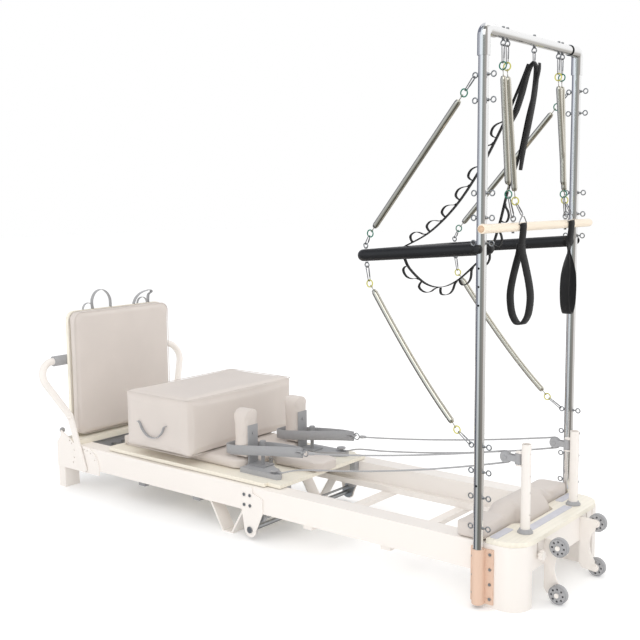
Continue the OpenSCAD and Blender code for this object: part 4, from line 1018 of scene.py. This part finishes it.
def box_straps():
    made = []
    for s in SIDES:
        y = s * (high("sitting_box").y + 0.0032)
        x0 = FOLD_X - 0.564
        route = [Vector((x0 + dx, y, z)) for dx, z in
                 ((-0.095, 0.425), (-0.08, 0.418), (-0.066, 0.392), (-0.035, 0.366), (0, 0.359), (0.035, 0.366),
                  (0.066, 0.392), (0.08, 0.418), (0.095, 0.425))]
        made.append(ribbon(f"box_strap_{s}", smooth_path(route, 6), Y, 0.022, 0.0024, grey_webbing))
    obj = join("box_strap_pair", made)
    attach(obj, "sitting_box")


box_straps()


# ---------- camera, light and floor ----------
CAMERA_TURN = (0.676537147, 0.124761561, -0.00901996801)   # yaw, pitch and roll in radians
CAMERA_LENS = 54.9055
CAMERA_PLACE = (1.624274, -3.249334, 1.429961)              # x from the tower
DARK_WALL = (0.20, 0.215, 0.27)
WHITE = (1.0, 1.0, 1.0)
# what polished metal mirrors, by direction round the part and by height: white walls, a grey side and a dark side
WALLS = ((0.0, DARK_WALL), (0.115, DARK_WALL), (0.145, (0.85, 0.92, 1.0)), (0.265, (0.9, 0.96, 1.0)),
         (0.295, (0.25, 0.28, 0.27)), (0.42, (0.36, 0.35, 0.33)), (0.505, (0.45, 0.42, 0.40)), (0.535, WHITE),
         (0.82, WHITE), (0.85, DARK_WALL))
HEIGHTS = ((0.0, (0.30, 0.29, 0.27)), (0.36, (0.55, 0.53, 0.50)), (0.48, (0.92, 0.92, 0.91)), (0.6, WHITE),
           (0.82, WHITE), (0.95, (0.55, 0.54, 0.52)))
# name, place, target, size and watts
LAMPS = (("key", (3.2, -4.2, 4.6), (0, 0, 0.6), 3.5, 60), ("fill", (-4.5, -3.0, 2.6), (0, 0, 0.7), 4.0, 15),
         ("top", (0, 1.5, 5.0), (0, 0, 0.4), 4.5, 35))


def camera():
    yaw, pitch, roll = CAMERA_TURN
    forward = Vector((-math.sin(yaw) * math.cos(pitch), math.cos(yaw) * math.cos(pitch), -math.sin(pitch)))
    right0 = Vector((math.cos(yaw), math.sin(yaw), 0))
    up0 = right0.cross(forward)
    right = right0 * math.cos(roll) + up0 * math.sin(roll)
    up = -right0 * math.sin(roll) + up0 * math.cos(roll)
    cam = bpy.data.cameras.new("camera")
    cam.sensor_width = 36
    cam.lens = CAMERA_LENS
    cam.clip_end = 60
    obj = bpy.data.objects.new("camera", cam)
    obj.matrix_world = Matrix((right, up, -forward)).transposed().to_4x4()
    obj.matrix_world.translation = Vector((X_TOWER + CAMERA_PLACE[0], *CAMERA_PLACE[1:]))
    bpy.context.scene.collection.objects.link(obj)
    bpy.context.scene.camera = obj


def floor_plane():
    ground = Look("floor", srgb(253, 253, 253), 0.85, Emission_Color=(1, 1, 1, 1), Emission_Strength=0.12)
    size = 30
    floor = add("floor", [(-size, -size, 0), (size, -size, 0), (size, size, 0), (-size, size, 0)], [(0, 1, 2, 3)],
                ground.mottle(2, 0.998, 1.0).mat, smooth=False)
    floor.visible_glossy = False


def studio():
    """The camera sees white, metal mirrors the walls, and everything else is lit evenly."""
    world = bpy.data.worlds.new("studio")
    bpy.context.scene.world = world
    world.use_nodes = True
    nodes, links = world.node_tree.nodes, world.node_tree.links
    nodes.clear()
    out = nodes.new("ShaderNodeOutputWorld")
    mix = nodes.new("ShaderNodeMixShader")
    seen = nodes.new("ShaderNodeBackground")
    seen.inputs["Color"].default_value = (1, 1, 1, 1)
    seen.inputs["Strength"].default_value = 1.0
    lit = nodes.new("ShaderNodeBackground")
    lit.inputs["Color"].default_value = (1, 1, 1, 1)
    lit.inputs["Strength"].default_value = 0.98
    path = nodes.new("ShaderNodeLightPath")
    tc = nodes.new("ShaderNodeTexCoord")
    xyz = nodes.new("ShaderNodeSeparateXYZ")
    turn = nodes.new("ShaderNodeMath")
    turn.operation = "ARCTAN2"
    to01, z01 = (nodes.new("ShaderNodeMapRange") for _ in range(2))
    for node, reach in ((to01, math.pi), (z01, 1.0)):
        node.inputs["From Min"].default_value = -reach
        node.inputs["From Max"].default_value = reach
    walls, height = ramp(nodes, WALLS), ramp(nodes, HEIGHTS)
    mirror = nodes.new("ShaderNodeBackground")
    tone = nodes.new("ShaderNodeMix")
    tone.data_type = "RGBA"
    tone.blend_type = "MULTIPLY"
    tone.inputs["Factor"].default_value = 1.0
    pick = nodes.new("ShaderNodeMixShader")
    links.new(tc.outputs["Generated"], xyz.inputs[0])
    links.new(xyz.outputs["Y"], turn.inputs[0])
    links.new(xyz.outputs["X"], turn.inputs[1])
    links.new(turn.outputs[0], to01.inputs["Value"])
    links.new(to01.outputs[0], walls.inputs[0])
    links.new(xyz.outputs["Z"], z01.inputs["Value"])
    links.new(z01.outputs[0], height.inputs[0])
    links.new(walls.outputs[0], tone.inputs[6])
    links.new(height.outputs[0], tone.inputs[7])
    links.new(tone.outputs[2], mirror.inputs["Color"])
    links.new(path.outputs["Is Glossy Ray"], pick.inputs[0])
    links.new(lit.outputs[0], pick.inputs[1])
    links.new(mirror.outputs[0], pick.inputs[2])
    links.new(path.outputs["Is Camera Ray"], mix.inputs[0])
    links.new(pick.outputs[0], mix.inputs[1])
    links.new(seen.outputs[0], mix.inputs[2])
    links.new(mix.outputs[0], out.inputs[0])

    for name, place, target, size, watts in LAMPS:
        light = bpy.data.lights.new(name, "AREA")
        light.shape = "SQUARE"
        light.size = size
        light.energy = watts
        obj = bpy.data.objects.new(name, light)
        obj.location = place
        obj.rotation_euler = (Vector(target) - Vector(place)).to_track_quat("-Z", "Y").to_euler()
        bpy.context.scene.collection.objects.link(obj)
    view = bpy.context.scene.view_settings
    view.view_transform = "Standard"
    view.look = "None"
    view.exposure = 0
    view.gamma = 1


camera()
floor_plane()
studio()
